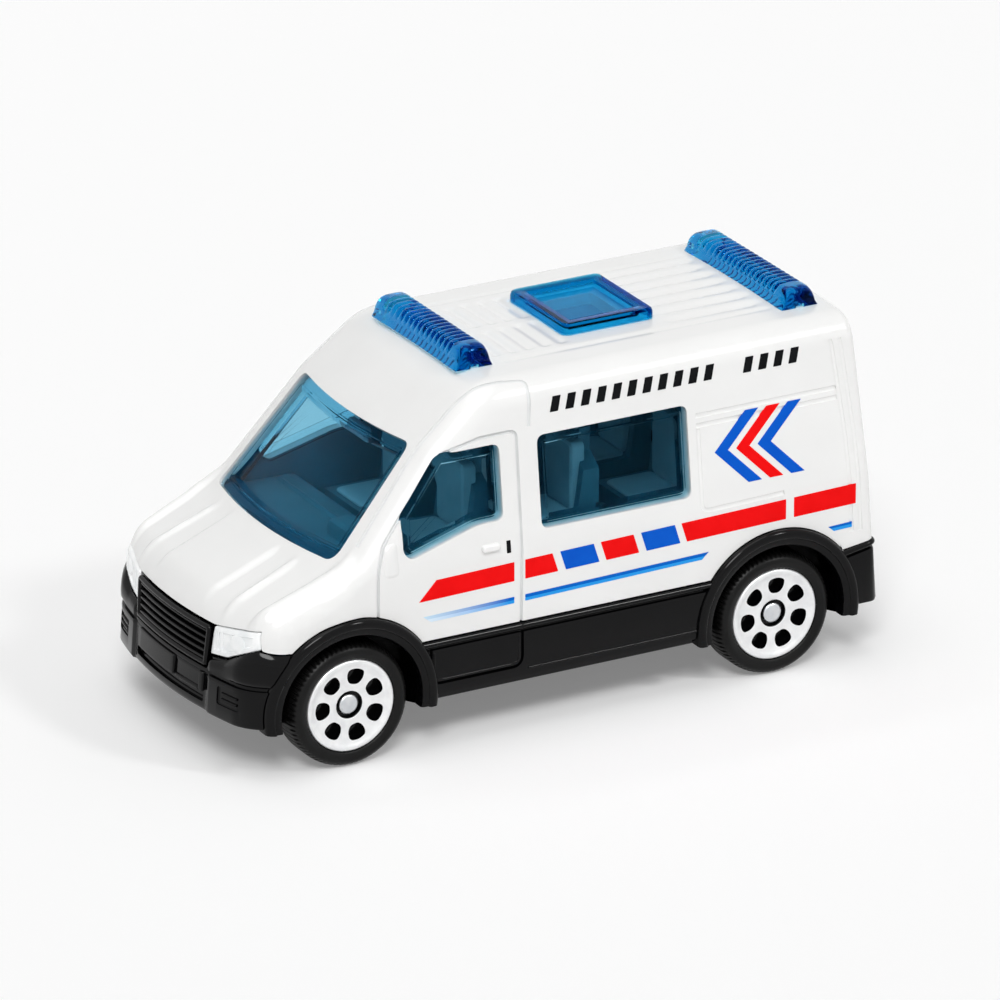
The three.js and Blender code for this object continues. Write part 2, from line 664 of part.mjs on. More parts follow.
function axleSlot(axleX) {
  const half = AXLE_RADIUS + RUN_CLEARANCE;
  const shape = new THREE.Shape();
  shape.moveTo(axleX + half, TUB_SEAT + FIT);
  shape.lineTo(axleX - half, TUB_SEAT + FIT);
  shape.lineTo(axleX - half, AXLE_Z);
  shape.absarc(axleX, AXLE_Z, half, Math.PI, 2 * Math.PI, false);
  shape.closePath();
  return sideView(shape, -WELL_WALL_OUTER - FIT, WELL_WALL_OUTER + FIT);
}

function chassisBase() {
  const sills = layer(CLADDING_PROUD, -WALL)
    .intersect(between(SILL_BOTTOM, SILL_TOP - SEAM))
    .intersect(block(-FAR, FRONT_AXLE_X, -FAR, FAR, -FAR, FAR));
  const archHoles = archCylinders(ARCH_INNER, WELL_WALL_OUTER - FIT);
  const rings = archCylinders(ARCH_OUTER, WELL_WALL_OUTER).subtract(archHoles);
  const flares = layer(FLARE_PROUD, -WALL).intersect(rings).intersect(above(SILL_BOTTOM));
  const behindFrontAxle = block(-FAR, FRONT_AXLE_X, -FAR, FAR, FLOOR_BOTTOM, FLOOR_TOP);
  const aheadOfFrontAxle = block(FRONT_AXLE_X - FIT, FAR, -FAR, FAR, FLOOR_BOTTOM, FLOOR_TOP);
  const rearFloor = vanSolid(FIT - WALL).intersect(behindFrontAxle);
  const frontFloor = vanSolid(-FIT - WALL).intersect(aheadOfFrontAxle);
  const wellWalls = Object.values(AXLE_X).map((axleX) =>
    onBothSides((side) => {
      const faces = [side * (WELL_WALL_OUTER - WELL_WALL), side * WELL_WALL_OUTER].sort((a, b) => a - b);
      return block(
        axleX - WELL_WALL_HALF_LENGTH,
        axleX + WELL_WALL_HALF_LENGTH,
        ...faces,
        FLOOR_BOTTOM,
        TUB_SEAT,
      );
    }),
  );
  const screwHoles = [FRONT_POST_X, REAR_POST_X].map((x) => {
    const headHole = upright(SCREW_HEAD_RADIUS + SEAM, x, 0, -FAR, SCREW_SEAT);
    return upright(SCREW_RADIUS + SEAM, x, 0, -FAR, FAR).add(headHole);
  });
  return joined([sills, rearFloor, frontFloor])
    .subtract(archCylinders(ARCH_INNER, WELL_WALL_OUTER))
    .add(flares)
    .add(joined(wellWalls))
    .subtract(joined(Object.values(AXLE_X).map(axleSlot)))
    .subtract(joined(screwHoles));
}

function recess(y0, y1, z0, z1, depth) {
  const outline = [
    [y0, z0],
    [y1, z0],
    [y1, z1],
    [y0, z1],
  ];
  return frontView(shapeOf(outline), BUMPER_REAR_X, FAR).subtract(vanSolid(BUMPER_PROUD - depth));
}

function frontBumperGrille() {
  const pitch = (GRILLE_TOP - GRILLE_BOTTOM - GRILLE_FRAME) / GRILLE_SLOTS;
  const slotHalf = LAMP_INNER_BOTTOM[0] - GRILLE_FRAME;
  const slots = Array.from({ length: GRILLE_SLOTS }, (_, i) => {
    const z = GRILLE_BOTTOM + pitch * (i + 0.5);
    return recess(-slotHalf, slotHalf, z, z + GRILLE_SLOT_HEIGHT, GRILLE_SLOT_DEPTH);
  });
  const intakeHalf = HALF_WIDTH - INTAKE_INSET;
  const intake = recess(-intakeHalf, intakeHalf, INTAKE_BOTTOM, INTAKE_TOP, RECESS_DEPTH);
  const fogs = onBothSides((side) => {
    const insets = [FOG_INNER_INSET, FOG_OUTER_INSET];
    const edges = insets.map((inset) => side * (HALF_WIDTH - inset)).sort((a, b) => a - b);
    return recess(...edges, FOG_BOTTOM, FOG_TOP, RECESS_DEPTH);
  });
  return layer(BUMPER_PROUD, -WALL)
    .intersect(frontView(shapeOf(BUMPER_OUTLINE), BUMPER_REAR_X, FAR))
    .subtract(archCylinders(ARCH_OUTER + FIT, WELL_WALL_OUTER, ["front"]))
    .subtract(joined(slots))
    .subtract(intake)
    .subtract(fogs);
}

function headlamp(side) {
  const outline = grown(LAMP_OUTLINE, -FIT);
  const shape = shapeOf(side > 0 ? outline : mirrored(outline));
  return layer(LAMP_PROUD, -WALL).intersect(frontView(shape, BUMPER_REAR_X, FAR));
}

// Seat moulding: a floor on the well walls, two rows of seats and a bench, a dashboard with a steering
// wheel, and legs that keep the axles down in their slots
function seat(backX, side) {
  const backHalf = SEAT_WIDTH / 2;
  const outline = [
    [backX - SEAT_BACK, TUB_TOP - FIT],
    [backX + SEAT_DEPTH, TUB_TOP - FIT],
    [backX + SEAT_DEPTH, TUB_TOP + SEAT_BASE],
    [backX, TUB_TOP + SEAT_BASE],
    [backX - SEAT_BACK / 2, SEAT_BACK_TOP],
    [backX - SEAT_BACK, SEAT_BACK_TOP],
  ];
  const shoulder = [
    [-backHalf, TUB_TOP - FIT],
    [backHalf, TUB_TOP - FIT],
    [backHalf, SEAT_BACK_TOP - SEAT_SHOULDER_DROP],
    [backHalf / 2, SEAT_BACK_TOP - SEAT_BACK],
    [backHalf / 2, SEAT_BACK_TOP],
    [-backHalf / 2, SEAT_BACK_TOP],
    [-backHalf / 2, SEAT_BACK_TOP - SEAT_BACK],
    [-backHalf, SEAT_BACK_TOP - SEAT_SHOULDER_DROP],
  ];
  const middle = side * SEAT_OFFSET;
  const placed = shoulder.map(([y, z]) => [y + middle, z]);
  return sideView(shapeOf(outline), middle - backHalf, middle + backHalf).intersect(
    frontView(shapeOf(placed), backX - SEAT_DEPTH, backX + 2 * SEAT_DEPTH),
  );
}

function steeringWheel(dashX) {
  const rim = new THREE.LatheGeometry(
    [
      [STEERING_RADIUS - STEERING_RIM, -STEERING_RIM],
      [STEERING_RADIUS + STEERING_RIM, -STEERING_RIM],
      [STEERING_RADIUS + STEERING_RIM, STEERING_RIM],
      [STEERING_RADIUS - STEERING_RIM, STEERING_RIM],
      [STEERING_RADIUS - STEERING_RIM, -STEERING_RIM],
    ].map(([u, v]) => new THREE.Vector2(u, v)),
    SHAFT_SIDES,
  );
  const spoke = new THREE.BoxGeometry(2 * STEERING_RADIUS, STEERING_RIM, 2 * STEERING_RIM);
  const column = new THREE.CylinderGeometry(STEERING_RIM, STEERING_RIM, DASH_DEPTH, SHAFT_SIDES);
  column.translate(0, -DASH_DEPTH / 2, 0);
  const place = (geometry) =>
    solidOf(
      geometry
        .rotateX(Math.PI / 2)
        .rotateY(THREE.MathUtils.degToRad(-STEERING_TILT))
        .translate(dashX - DASH_DEPTH / 2, SEAT_OFFSET, DASH_TOP - STEERING_RIM),
    );
  return joined([rim, spoke, column].map(place));
}

function interiorTub() {
  const front = FRONT_AXLE_X + TUB_AHEAD_OF_AXLE;
  const rear = REAR_AXLE_X - TUB_BEHIND_AXLE;
  const floor = block(rear, front, -TUB_HALF, TUB_HALF, TUB_SEAT + SEAM, TUB_TOP);
  const dashFront = COWL_X - DASH_BEHIND_COWL;
  const dashX = dashFront - DASH_DEPTH;
  const dash = [
    [dashX, TUB_TOP - FIT],
    [dashFront, TUB_TOP - FIT],
    [dashFront, DASH_TOP - DASH_DEPTH / 2],
    [dashX + DASH_DEPTH / 2, DASH_TOP],
    [dashX, DASH_TOP - DASH_DEPTH / 3],
  ];
  const frontBack = DOOR_WINDOW_REAR + SEAT_AHEAD_OF_PILLAR;
  const rows = Array.from({ length: SEAT_ROWS }, (_, i) => frontBack - i * SEAT_PITCH);
  const seats = rows.flatMap((x) => [seat(x, 1), seat(x, -1)]);
  const legHalf = AXLE_RADIUS + RUN_CLEARANCE - SEAM;
  const legs = Object.values(AXLE_X).map((axleX) =>
    onBothSides((side) => {
      const outer = WELL_WALL_OUTER - SEAM;
      const faces = [side * (WELL_WALL_OUTER - WELL_WALL + SEAM), side * outer].sort((a, b) => a - b);
      const foot = AXLE_Z + AXLE_RADIUS + RUN_CLEARANCE;
      return block(axleX - legHalf, axleX + legHalf, ...faces, foot, TUB_TOP - FIT);
    }),
  );
  return joined([
    floor,
    sideView(shapeOf(dash), DASH_INSET - TUB_HALF, TUB_HALF - DASH_INSET),
    steeringWheel(dashX),
    ...seats,
    ...legs,
  ]);
}

// Wheels and axles turn about the cross axis; profiles are [radius, outward] points
function turned(profile, sides) {
  const points = profile.map(([radius, out]) => new THREE.Vector2(radius, out));
  return solidOf(new THREE.LatheGeometry(points, sides, Math.PI / sides));
}

function closed(profile) {
  return [...profile, profile[0]];
}

function tyre() {
  const seatRadius = RIM_RADIUS + TYRE_SEAT;
  return turned(
    closed([
      [seatRadius, -TYRE_WIDTH],
      [TYRE_RADIUS - TYRE_SHOULDER, -TYRE_WIDTH],
      [TYRE_RADIUS, TYRE_SHOULDER - TYRE_WIDTH],
      [TYRE_RADIUS, TYRE_BULGE - TYRE_SHOULDER],
      [TYRE_RADIUS - TYRE_SHOULDER, TYRE_BULGE],
      [seatRadius + TYRE_BULGE, TYRE_BULGE],
      [seatRadius, 0],
    ]),
    WHEEL_SIDES,
  );
}

function wheelHole() {
  const shape = new THREE.Shape();
  const corner = HOLE_OUTER - HOLE_HALF_WIDTH / 4;
  const round = HOLE_INNER + HOLE_HALF_WIDTH;
  shape.moveTo(-HOLE_HALF_WIDTH, corner);
  shape.lineTo(-HOLE_HALF_WIDTH, round);
  shape.absarc(0, round, HOLE_HALF_WIDTH, Math.PI, 2 * Math.PI, false);
  shape.lineTo(HOLE_HALF_WIDTH, corner);
  shape.quadraticCurveTo(0, HOLE_OUTER + HOLE_HALF_WIDTH / 4, -HOLE_HALF_WIDTH, corner);
  return prism(shape, TYRE_WIDTH, HOLE_STEPS);
}

function wheel() {
  const bore = AXLE_RADIUS + RUN_CLEARANCE;
  const hubBack = WELL_WALL_OUTER + FIT - WHEEL_FACE;
  const disc = turned(
    closed([
      [bore, hubBack],
      [HUB_RADIUS, hubBack],
      [HUB_RADIUS, -WEB_THICKNESS - DISH],
      [RIM_RADIUS - RIM_LIP, -WEB_THICKNESS],
      [RIM_RADIUS - RIM_LIP, -RIM_DEPTH],
      [RIM_RADIUS, -RIM_DEPTH],
      [RIM_RADIUS, 0],
      [RIM_RADIUS - RIM_LIP, 0],
      [HUB_POCKET_RADIUS, -DISH],
      [HUB_POCKET_RADIUS, -HUB_POCKET_DEPTH],
      [bore, -HUB_POCKET_DEPTH],
    ]),
    WHEEL_SIDES,
  );
  const holes = Array.from({ length: WHEEL_HOLES }, (_, i) =>
    solidOf(
      wheelHole()
        .rotateZ((2 * Math.PI * i) / WHEEL_HOLES)
        .rotateX(-Math.PI / 2)
        .translate(0, -TYRE_WIDTH + WEB_THICKNESS, 0),
    ),
  );
  return disc.subtract(joined(holes));
}

function axle() {
  const seatAt = WHEEL_FACE - HUB_POCKET_DEPTH + RUN_CLEARANCE;
  return turned(
    [
      [0, -seatAt - AXLE_HEAD],
      [AXLE_CROWN_RADIUS, -seatAt - AXLE_HEAD],
      [AXLE_HEAD_RADIUS, -seatAt - AXLE_HEAD / 2],
      [AXLE_HEAD_RADIUS, -seatAt],
      [AXLE_RADIUS, -seatAt],
      [AXLE_RADIUS, seatAt],
      [AXLE_HEAD_RADIUS, seatAt],
      [AXLE_HEAD_RADIUS, seatAt + AXLE_HEAD / 2],
      [AXLE_CROWN_RADIUS, seatAt + AXLE_HEAD],
      [0, seatAt + AXLE_HEAD],
    ],
    SHAFT_SIDES,
  );
}

function baseScrew(x) {
  const head = upright(SCREW_HEAD_RADIUS, x, 0, SCREW_SEAT - SCREW_HEAD, SCREW_SEAT);
  const shank = upright(SCREW_RADIUS, x, 0, SCREW_SEAT - SCREW_HEAD / 2, SCREW_SEAT + SCREW_LENGTH);
  const depth = SCREW_SEAT - SCREW_HEAD / 2;
  const half = SCREW_SLOT / 2;
  const slots = block(x - SCREW_SLOT_ARM, x + SCREW_SLOT_ARM, -half, half, -FAR, depth).add(
    block(x - half, x + half, -SCREW_SLOT_ARM, SCREW_SLOT_ARM, -FAR, depth),
  );
  return head.add(shank).subtract(slots);
}

// Assembly
const van = new THREE.Group();
van.add(
  meshOf("body_shell", bodyShell(), "paint"),
  meshOf("window_unit", windowUnit(), "glazing"),
  meshOf("front_lightbar", lightBar(BAR_PLACES[0], FRONT_BAR_HALF), "beacon"),
  meshOf("rear_lightbar", lightBar(BAR_PLACES[1], REAR_BAR_HALF), "beacon"),
  meshOf("roof_hatch", roofHatch(), "glazing"),
  meshOf("chassis_base", chassisBase(), "cladding"),
  meshOf("front_bumper_grille", frontBumperGrille(), "cladding"),
  meshOf("headlamp_left", headlamp(1), "lamp"),
  meshOf("headlamp_right", headlamp(-1), "lamp"),
  meshOf("interior_tub", interiorTub(), "moulding"),
  meshOf("base_screw_front", baseScrew(FRONT_POST_X), "steel"),
  meshOf("base_screw_rear", baseScrew(REAR_POST_X), "steel"),
);

for (const [end, axleX] of Object.entries(AXLE_X)) {
  const axleGroup = new THREE.Group();
  axleGroup.position.set(axleX, 0, AXLE_Z);
  axleGroup.add(meshOf(`${end}_axle`, axle(), "steel"));
  for (const [hand, turn] of [["left", 0], ["right", Math.PI]]) {
    const wheelGroup = new THREE.Group();
    wheelGroup.rotation.z = turn;
    const tyreMesh = meshOf(`${end}_${hand}_tyre`, tyre(), "rubber");
    const wheelMesh = meshOf(`${end}_${hand}_wheel`, wheel(), "wheel");
    tyreMesh.position.y = WHEEL_FACE;
    wheelMesh.position.y = WHEEL_FACE;
    wheelGroup.add(tyreMesh, wheelMesh);
    axleGroup.add(wheelGroup);
  }
  van.add(axleGroup);
}

export default van;
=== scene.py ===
"""Looks of the die-cast toy ambulance van: painted casting, blue glazing and light bars, black base, wheels.

Shapes are worked out in millimetres in the frame's own axes (+X nose, +Y left side, +Z up) and put into
meshes in metres. Most pieces lie on one form: planes with rounded edges, met along rays at a chosen level.
"""
import math

import bmesh
import bpy
import numpy as np
from mathutils import Matrix, Vector


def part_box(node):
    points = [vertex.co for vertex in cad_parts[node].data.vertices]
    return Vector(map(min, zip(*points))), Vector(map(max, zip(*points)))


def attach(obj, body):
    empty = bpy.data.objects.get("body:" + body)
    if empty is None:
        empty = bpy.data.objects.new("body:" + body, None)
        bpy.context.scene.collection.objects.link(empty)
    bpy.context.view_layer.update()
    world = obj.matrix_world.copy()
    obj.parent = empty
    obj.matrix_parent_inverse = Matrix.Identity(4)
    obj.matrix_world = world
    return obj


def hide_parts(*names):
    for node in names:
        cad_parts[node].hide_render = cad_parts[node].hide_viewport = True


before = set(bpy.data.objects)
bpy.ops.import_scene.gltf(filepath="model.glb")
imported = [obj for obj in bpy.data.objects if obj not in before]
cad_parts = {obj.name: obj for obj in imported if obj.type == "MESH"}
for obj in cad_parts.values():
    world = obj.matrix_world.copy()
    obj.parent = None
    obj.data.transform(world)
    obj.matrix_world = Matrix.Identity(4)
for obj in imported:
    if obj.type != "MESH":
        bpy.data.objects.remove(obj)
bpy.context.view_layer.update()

MM = 0.001


def node_box(node):
    """Lowest and highest corner of a CAD node, in millimetres."""
    low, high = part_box(node)
    return np.array(low) / MM, np.array(high) / MM


# Places taken from the frame
NOSE_X = node_box("front_bumper_grille")[1][0]
TAIL_X = node_box("chassis_base")[0][0]
FRONT_AXLE_X, _, AXLE_Z = sum(node_box("front_axle")) / 2
REAR_AXLE_X = sum(node_box("rear_axle"))[0] / 2
TYRE_INNER_Y, TYRE_OUTER_Y = [corner[1] for corner in node_box("front_left_tyre")]
WHEEL_BACK, WHEEL_FACE = [corner[1] for corner in node_box("front_left_wheel")]
WHEEL_PLACES = [(axle_x, hand) for axle_x in (FRONT_AXLE_X, REAR_AXLE_X) for hand in (1, -1)]

# Form of the van
HALF_WIDTH = 15.4
ROOF_HEIGHT = 35.8
ROOF_CROWN = 0.5
BELT_HEIGHT = 19.0
SIDE_LEAN = math.radians(7)
SCREEN_TOP = 30.5
SCREEN_ANGLE = 48
BROW_ANGLE = 38
COWL_HEIGHT = 20.0
COWL_X = FRONT_AXLE_X + 1.75
HOOD_ANGLE = 22
NOSE_LEAN = 4.5
REAR_LEAN = 4
NOSE_BOW = 2.4
FENDER_TAPER = 0.012
ROOF_EDGE_RADIUS = 2.4
REAR_EDGE_RADIUS = 0.9
NOSE_RADIUS = 2.2
BROW_RADIUS = 1.5
COWL_RADIUS = 0.8
WALL = 1.3
SILL_TOP = 11.6
SILL_BOTTOM = 5.6
CLADDING_PROUD = 0.3
BUMPER_PROUD = 0.4
BUMPER_BOTTOM = 5.3
BUMPER_REAR_X = FRONT_AXLE_X + 6.2
ARCH_INNER = 7.4
ARCH_OUTER = 9.1
FLOOR_BOTTOM = 4.6
SEAM = 0.15
SCREEN_TOP_X = COWL_X - (SCREEN_TOP - COWL_HEIGHT) / math.tan(math.radians(SCREEN_ANGLE))

# Rays that meet the form: margin and reach outside it, core inside it, places where they start
MARGIN = 2.0
REACH = 2 * HALF_WIDTH
CORE = 5.5
HALVINGS = 34
SIDE_START = 2
SIDE_END = 20
FRONT_START = 4
REAR_START = -20
NORMAL_STEP = 0.01
LAYING_STEPS = 6


def rounded_max(a, b, radius):
    """Greater of two distances, with the edge between them rounded to the radius."""
    corner = np.hypot(np.maximum(a + radius, 0), np.maximum(b + radius, 0))
    return np.minimum(-radius, np.maximum(a, b)) + corner


def rounded_min(a, b, radius):
    """Lesser of two distances, with the hollow between them rounded to the radius."""
    return -rounded_max(-a, -b, radius)


def slope(x, z, line_x, line_z, degrees):
    """Distance above a plane that passes the line and falls by the angle towards +x."""
    angle = math.radians(degrees)
    return (x - line_x) * math.sin(angle) + (z - line_z) * math.cos(angle)


def van_form(points):
    """Signed distance to the form: planes of roof, brow, screen, hood, nose, sides and rear, rounded."""
    x, y, z = points[..., 0], points[..., 1], points[..., 2]
    across = y / HALF_WIDTH
    along = x + NOSE_BOW * across**2
    roof = z - ROOF_HEIGHT + ROOF_CROWN * across**2
    brow = slope(along, z, SCREEN_TOP_X, SCREEN_TOP, BROW_ANGLE)
    screen = slope(along, z, COWL_X, COWL_HEIGHT, SCREEN_ANGLE)
    hood = slope(along, z, COWL_X, COWL_HEIGHT, HOOD_ANGLE)
    nose = slope(along, z, NOSE_X - BUMPER_PROUD, BUMPER_BOTTOM, 90 - NOSE_LEAN)
    cab = np.maximum(rounded_max(roof, brow, BROW_RADIUS), screen)
    engine_bay = np.maximum(hood, z - SCREEN_TOP)
    top = rounded_max(rounded_min(cab, engine_bay, COWL_RADIUS), nose, NOSE_RADIUS)
    out = np.abs(y) - HALF_WIDTH + FENDER_TAPER * np.maximum(0, x - FRONT_AXLE_X) ** 2
    side = np.maximum(out, out * math.cos(SIDE_LEAN) + (z - BELT_HEIGHT) * math.sin(SIDE_LEAN))
    rear = slope(-x, z, -(TAIL_X + CLADDING_PROUD), SILL_BOTTOM, 90 - REAR_LEAN)
    return rounded_max(rounded_max(top, side, ROOF_EDGE_RADIUS), rear, REAR_EDGE_RADIUS)


def meet(start, end, level):
    """Point of each segment, from start inside to end outside, where the form has the level, by halving."""
    low = np.zeros(np.broadcast_shapes(start.shape, end.shape)[:-1])
    high = np.ones_like(low)
    for _ in range(HALVINGS):
        middle = (low + high) / 2
        inside = van_form(start + (end - start) * middle[..., None]) < level
        low = np.where(inside, middle, low)
        high = np.where(inside, high, middle)
    return start + (end - start) * low[..., None]


def points_of(x, y, z):
    """Three arrays or numbers as one array of points."""
    return np.stack(np.broadcast_arrays(x, y, z), -1).astype(float)


def in_plan(u, v, level):
    """Places (x, y) at a height."""
    return points_of(u, v, level)


def flat_side(u, v, level):
    """Places (x, z) in the plane y = level."""
    return points_of(u, level, v)


def flat_front(u, v, level):
    """Places (y, z) in the plane x = level."""
    return points_of(level, u, v)


def on_side(hand):
    """Places (x, z) on the left (1) or right (-1) side at a level of the form."""
    start, end = SIDE_START * hand, SIDE_END * hand
    return lambda u, v, level: meet(points_of(u, start, v), points_of(u, end, v), level)


def beside(hand):
    """Places (x, z) on a side, with the level measured straight across the van from its surface."""
    return lambda u, v, level: on_side(hand)(u, v, 0.0) + points_of(0, hand * level, 0)


def on_front(u, v, level):
    """Places (y, z) on the front of the form."""
    return meet(points_of(FRONT_START, u, v), points_of(NOSE_X + MARGIN, u, v), level)


def off_screen(u, v, level):
    """Places (y, z) on the windscreen, with the level measured square to its slope."""
    angle = math.radians(SCREEN_ANGLE)
    return on_front(u, v, 0.0) + level * points_of(math.sin(angle), 0, math.cos(angle))


def on_rear(u, v, level):
    """Places (y, z) on the rear of the form."""
    return meet(points_of(REAR_START, u, v), points_of(TAIL_X - MARGIN, u, v), level)


def outward(points):
    """Unit normals of the form: its differences along the three axes."""
    shifts = np.eye(3) * NORMAL_STEP
    normal = np.stack([van_form(points + shift) - van_form(points - shift) for shift in shifts], -1)
    return normal / np.linalg.norm(normal, axis=-1, keepdims=True)


def laid(points, level):
    """Points brought to a level of the form by a few steps along its normal."""
    for _ in range(LAYING_STEPS):
        points = points - (van_form(points) - level)[..., None] * outward(points)
    return points


# Outlines and paths
BEND_STEPS = 6
BEND_SHARE = 0.48
LEAST_BEND = 0.05


def drawn_in(corners, inset):
    """Counter-clockwise corners with each side moved in by the inset."""
    run = np.roll(corners, -1, 0) - corners
    normal = np.stack([-run[:, 1], run[:, 0]], 1) / np.linalg.norm(run, axis=1, keepdims=True)
    offset = (normal * corners).sum(1) + inset
    before, far = np.roll(normal, 1, 0), np.roll(offset, 1)
    cross = before[:, 0] * normal[:, 1] - before[:, 1] * normal[:, 0]
    u = (far * normal[:, 1] - offset * before[:, 1]) / cross
    v = (offset * before[:, 0] - far * normal[:, 0]) / cross
    return np.stack([u, v], 1)


def rounded(corners, radius, closed=True, inset=0.0, spacing=0.9):
    """Outline or path through the corners: straight runs with points at the spacing, corners as short curves.

    The number of points follows the corners alone, so outlines with other insets match point by point.
    """
    corners = np.array(corners, float)
    base = np.linalg.norm(np.roll(corners, -1, 0) - corners, axis=1)
    if inset:
        corners = drawn_in(corners, inset)
    count = len(corners)
    ahead = np.roll(corners, -1, 0) - corners
    length = np.linalg.norm(ahead, axis=1, keepdims=True)
    unit = ahead / length
    room = np.minimum(length, np.roll(length, 1, 0)) * BEND_SHARE
    bend = np.minimum(max(radius - inset, LEAST_BEND), room)
    if not closed:
        bend[[0, -1]] = 0
    first = corners - np.roll(unit, 1, 0) * bend
    last = corners + unit * bend
    share = np.linspace(0, 1, BEND_STEPS + 1)[:, None]
    runs = []
    for i in range(count):
        curve = first[i] * (1 - share) ** 2 + 2 * corners[i] * share * (1 - share) + last[i] * share**2
        runs.append(curve if closed or 0 < i < count - 1 else corners[i : i + 1])
        if closed or i < count - 1:
            inner = max(1, int(base[i] / spacing))
            between_ends = np.linspace(0, 1, inner + 2)[1:-1, None]
            target = first[(i + 1) % count]
            runs.append(last[i] + (target - last[i]) * between_ends)
    return np.concatenate(runs)


def rectangle(u0, u1, v0, v1):
    """Corners of a rectangle, counter-clockwise."""
    return [(u0, v0), (u1, v0), (u1, v1), (u0, v1)]


def mirrored(corners):
    """An outline on the other side of the centre line, still counter-clockwise."""
    return [(-u, v) for u, v in reversed(corners)]


def beside_van(path, hand, out=HALF_WIDTH):
    """A path of (x, z) corners as points at a distance out to one side."""
    return [(x, hand * out, z) for x, z in path]


def smooth(value, low, high):
    """Smooth step from 0 at low to 1 at high."""
    share = np.clip((value - low) / (high - low), 0, 1)
    return share * share * (3 - 2 * share)


def between(value, start, full, fade, end):
    """1 from full to fade, falling smoothly to 0 at the start and at the end."""
    return smooth(value, start, full) * (1 - smooth(value, fade, end))


def full_turn(sides):
    """Angles of a full turn in equal steps."""
    return np.linspace(0, 2 * np.pi, sides, endpoint=False)


def ridge(value, middle, width):
    """Bell curve of height 1 at the middle."""
    return np.exp(-(((value - middle) / width) ** 2))


# Meshes: lists of (points grid, wraps down the rows, wraps along the columns, material number)
CAP_SHARES = np.linspace(0.0, 0.88, 7)
DRUM_SIDES = 96
TUBE_SIDES = 10


def quads_of(rows, columns, wrap_rows, wrap_columns):
    """Four corner numbers for each cell of a grid."""
    down = np.arange(rows if wrap_rows else rows - 1)[:, None]
    along = np.arange(columns if wrap_columns else columns - 1)[None, :]
    next_down, next_along = (down + 1) % rows, (along + 1) % columns
    corners = [down * columns + along, down * columns + next_along]
    corners += [next_down * columns + next_along, next_down * columns + along]
    return np.stack(np.broadcast_arrays(*corners), -1).reshape(-1, 4)


def mesh_of(name, grids):
    """One closed mesh from the grids: doubles merged, poles closed, faces turned outwards."""
    points, faces, numbers, start = [], [], [], 0
    for grid, wrap_rows, wrap_columns, number in grids:
        rows, columns = grid.shape[:2]
        points.append(grid.reshape(-1, 3) * MM)
        cells = quads_of(rows, columns, wrap_rows, wrap_columns) + start
        faces.append(cells)
        numbers.append(np.full(len(cells), number))
        start += rows * columns
    mesh = bpy.data.meshes.new(name)
    mesh.from_pydata(np.concatenate(points).tolist(), [], np.concatenate(faces).tolist())
    mesh.polygons.foreach_set("material_index", np.concatenate(numbers).astype(np.int32))
    work = bmesh.new()
    work.from_mesh(mesh)
    bmesh.ops.remove_doubles(work, verts=work.verts, dist=2e-7)
    bmesh.ops.dissolve_degenerate(work, edges=work.edges, dist=1e-7)
    bmesh.ops.recalc_face_normals(work, faces=work.faces)
    work.to_mesh(mesh)
    work.free()
    return mesh


def object_of(name, mesh, materials=()):
    """A mesh, with its materials, as an object of the scene."""
    for material in materials:
        mesh.materials.append(material)
    piece = bpy.data.objects.new(name, mesh)
    bpy.context.scene.collection.objects.link(piece)
    return piece


def settle(piece, modifier):
    """Applies the piece's one modifier to its mesh."""
    bpy.context.view_layer.update()
    graph = bpy.context.evaluated_depsgraph_get()
    result = bpy.data.meshes.new_from_object(piece.evaluated_get(graph))
    piece.modifiers.remove(modifier)
    old = piece.data
    result.name = old.name
    piece.data = result
    bpy.data.meshes.remove(old)


def cut(piece, grids):
    """Cuts closed grids out of the piece."""
    tool = object_of("tool", mesh_of("tool", grids), piece.data.materials)
    modifier = piece.modifiers.new("cut", "BOOLEAN")
    modifier.object = tool
    modifier.operation = "DIFFERENCE"
    modifier.solver = "MANIFOLD"
    settle(piece, modifier)
    mesh = tool.data
    bpy.data.objects.remove(tool)
    bpy.data.meshes.remove(mesh)


def dressed(piece, nodes=(), sharp=32, body="car_body"):
    """Gives a piece its smooth shading, its body and the nodes that it replaces."""
    piece.data.shade_smooth()
    piece.data.set_sharp_from_angle(angle=math.radians(sharp))
    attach(piece, body)
    if nodes:
        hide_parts(*nodes)


def made(name, grids, materials, nodes=(), sharp=32, body="car_body", cuts=()):
    """Makes a piece from grids, cuts each list of the cuts out of it, and dresses it."""
    piece = object_of(name, mesh_of(name, grids), materials)
    for cut_grids in cuts:
        cut(piece, cut_grids)
    dressed(piece, nodes, sharp, body)


def closed_ends(grid, number=0):
    """A tube from its grid, with a pole beyond the first and the last column so that both ends close."""
    first = grid[:, :1].mean(0, keepdims=True) + 0 * grid[:, :1]
    last = grid[:, -1:].mean(0, keepdims=True) + 0 * grid[:, -1:]
    return np.concatenate([first, grid, last], 1), True, False, number


def plate(corners, radius, profile, place, number=0, spacing=0.9):
    """A closed plate: rings of the outline drawn in by each inset of the profile, at that row's level.

    Both ends of the profile close over the middle of the outline.
    """
    rings = [(rounded(corners, radius, True, inset, spacing), level) for inset, level in profile]
    middle = rings[-1][0].mean(0)
    first = [(middle + (rings[0][0] - middle) * share, rings[0][1]) for share in CAP_SHARES]
    last = [(middle + (rings[-1][0] - middle) * share, rings[-1][1]) for share in CAP_SHARES[::-1]]
    rows = [place(outline[:, 0], outline[:, 1], level) for outline, level in first + rings + last]
    return np.stack(rows), False, True, number


def prism(corners, radius, place, low, high):
    """A closed prism between two levels of a flat place."""
    return plate(corners, radius, [(0, low), (0, high)], place, spacing=3.0)


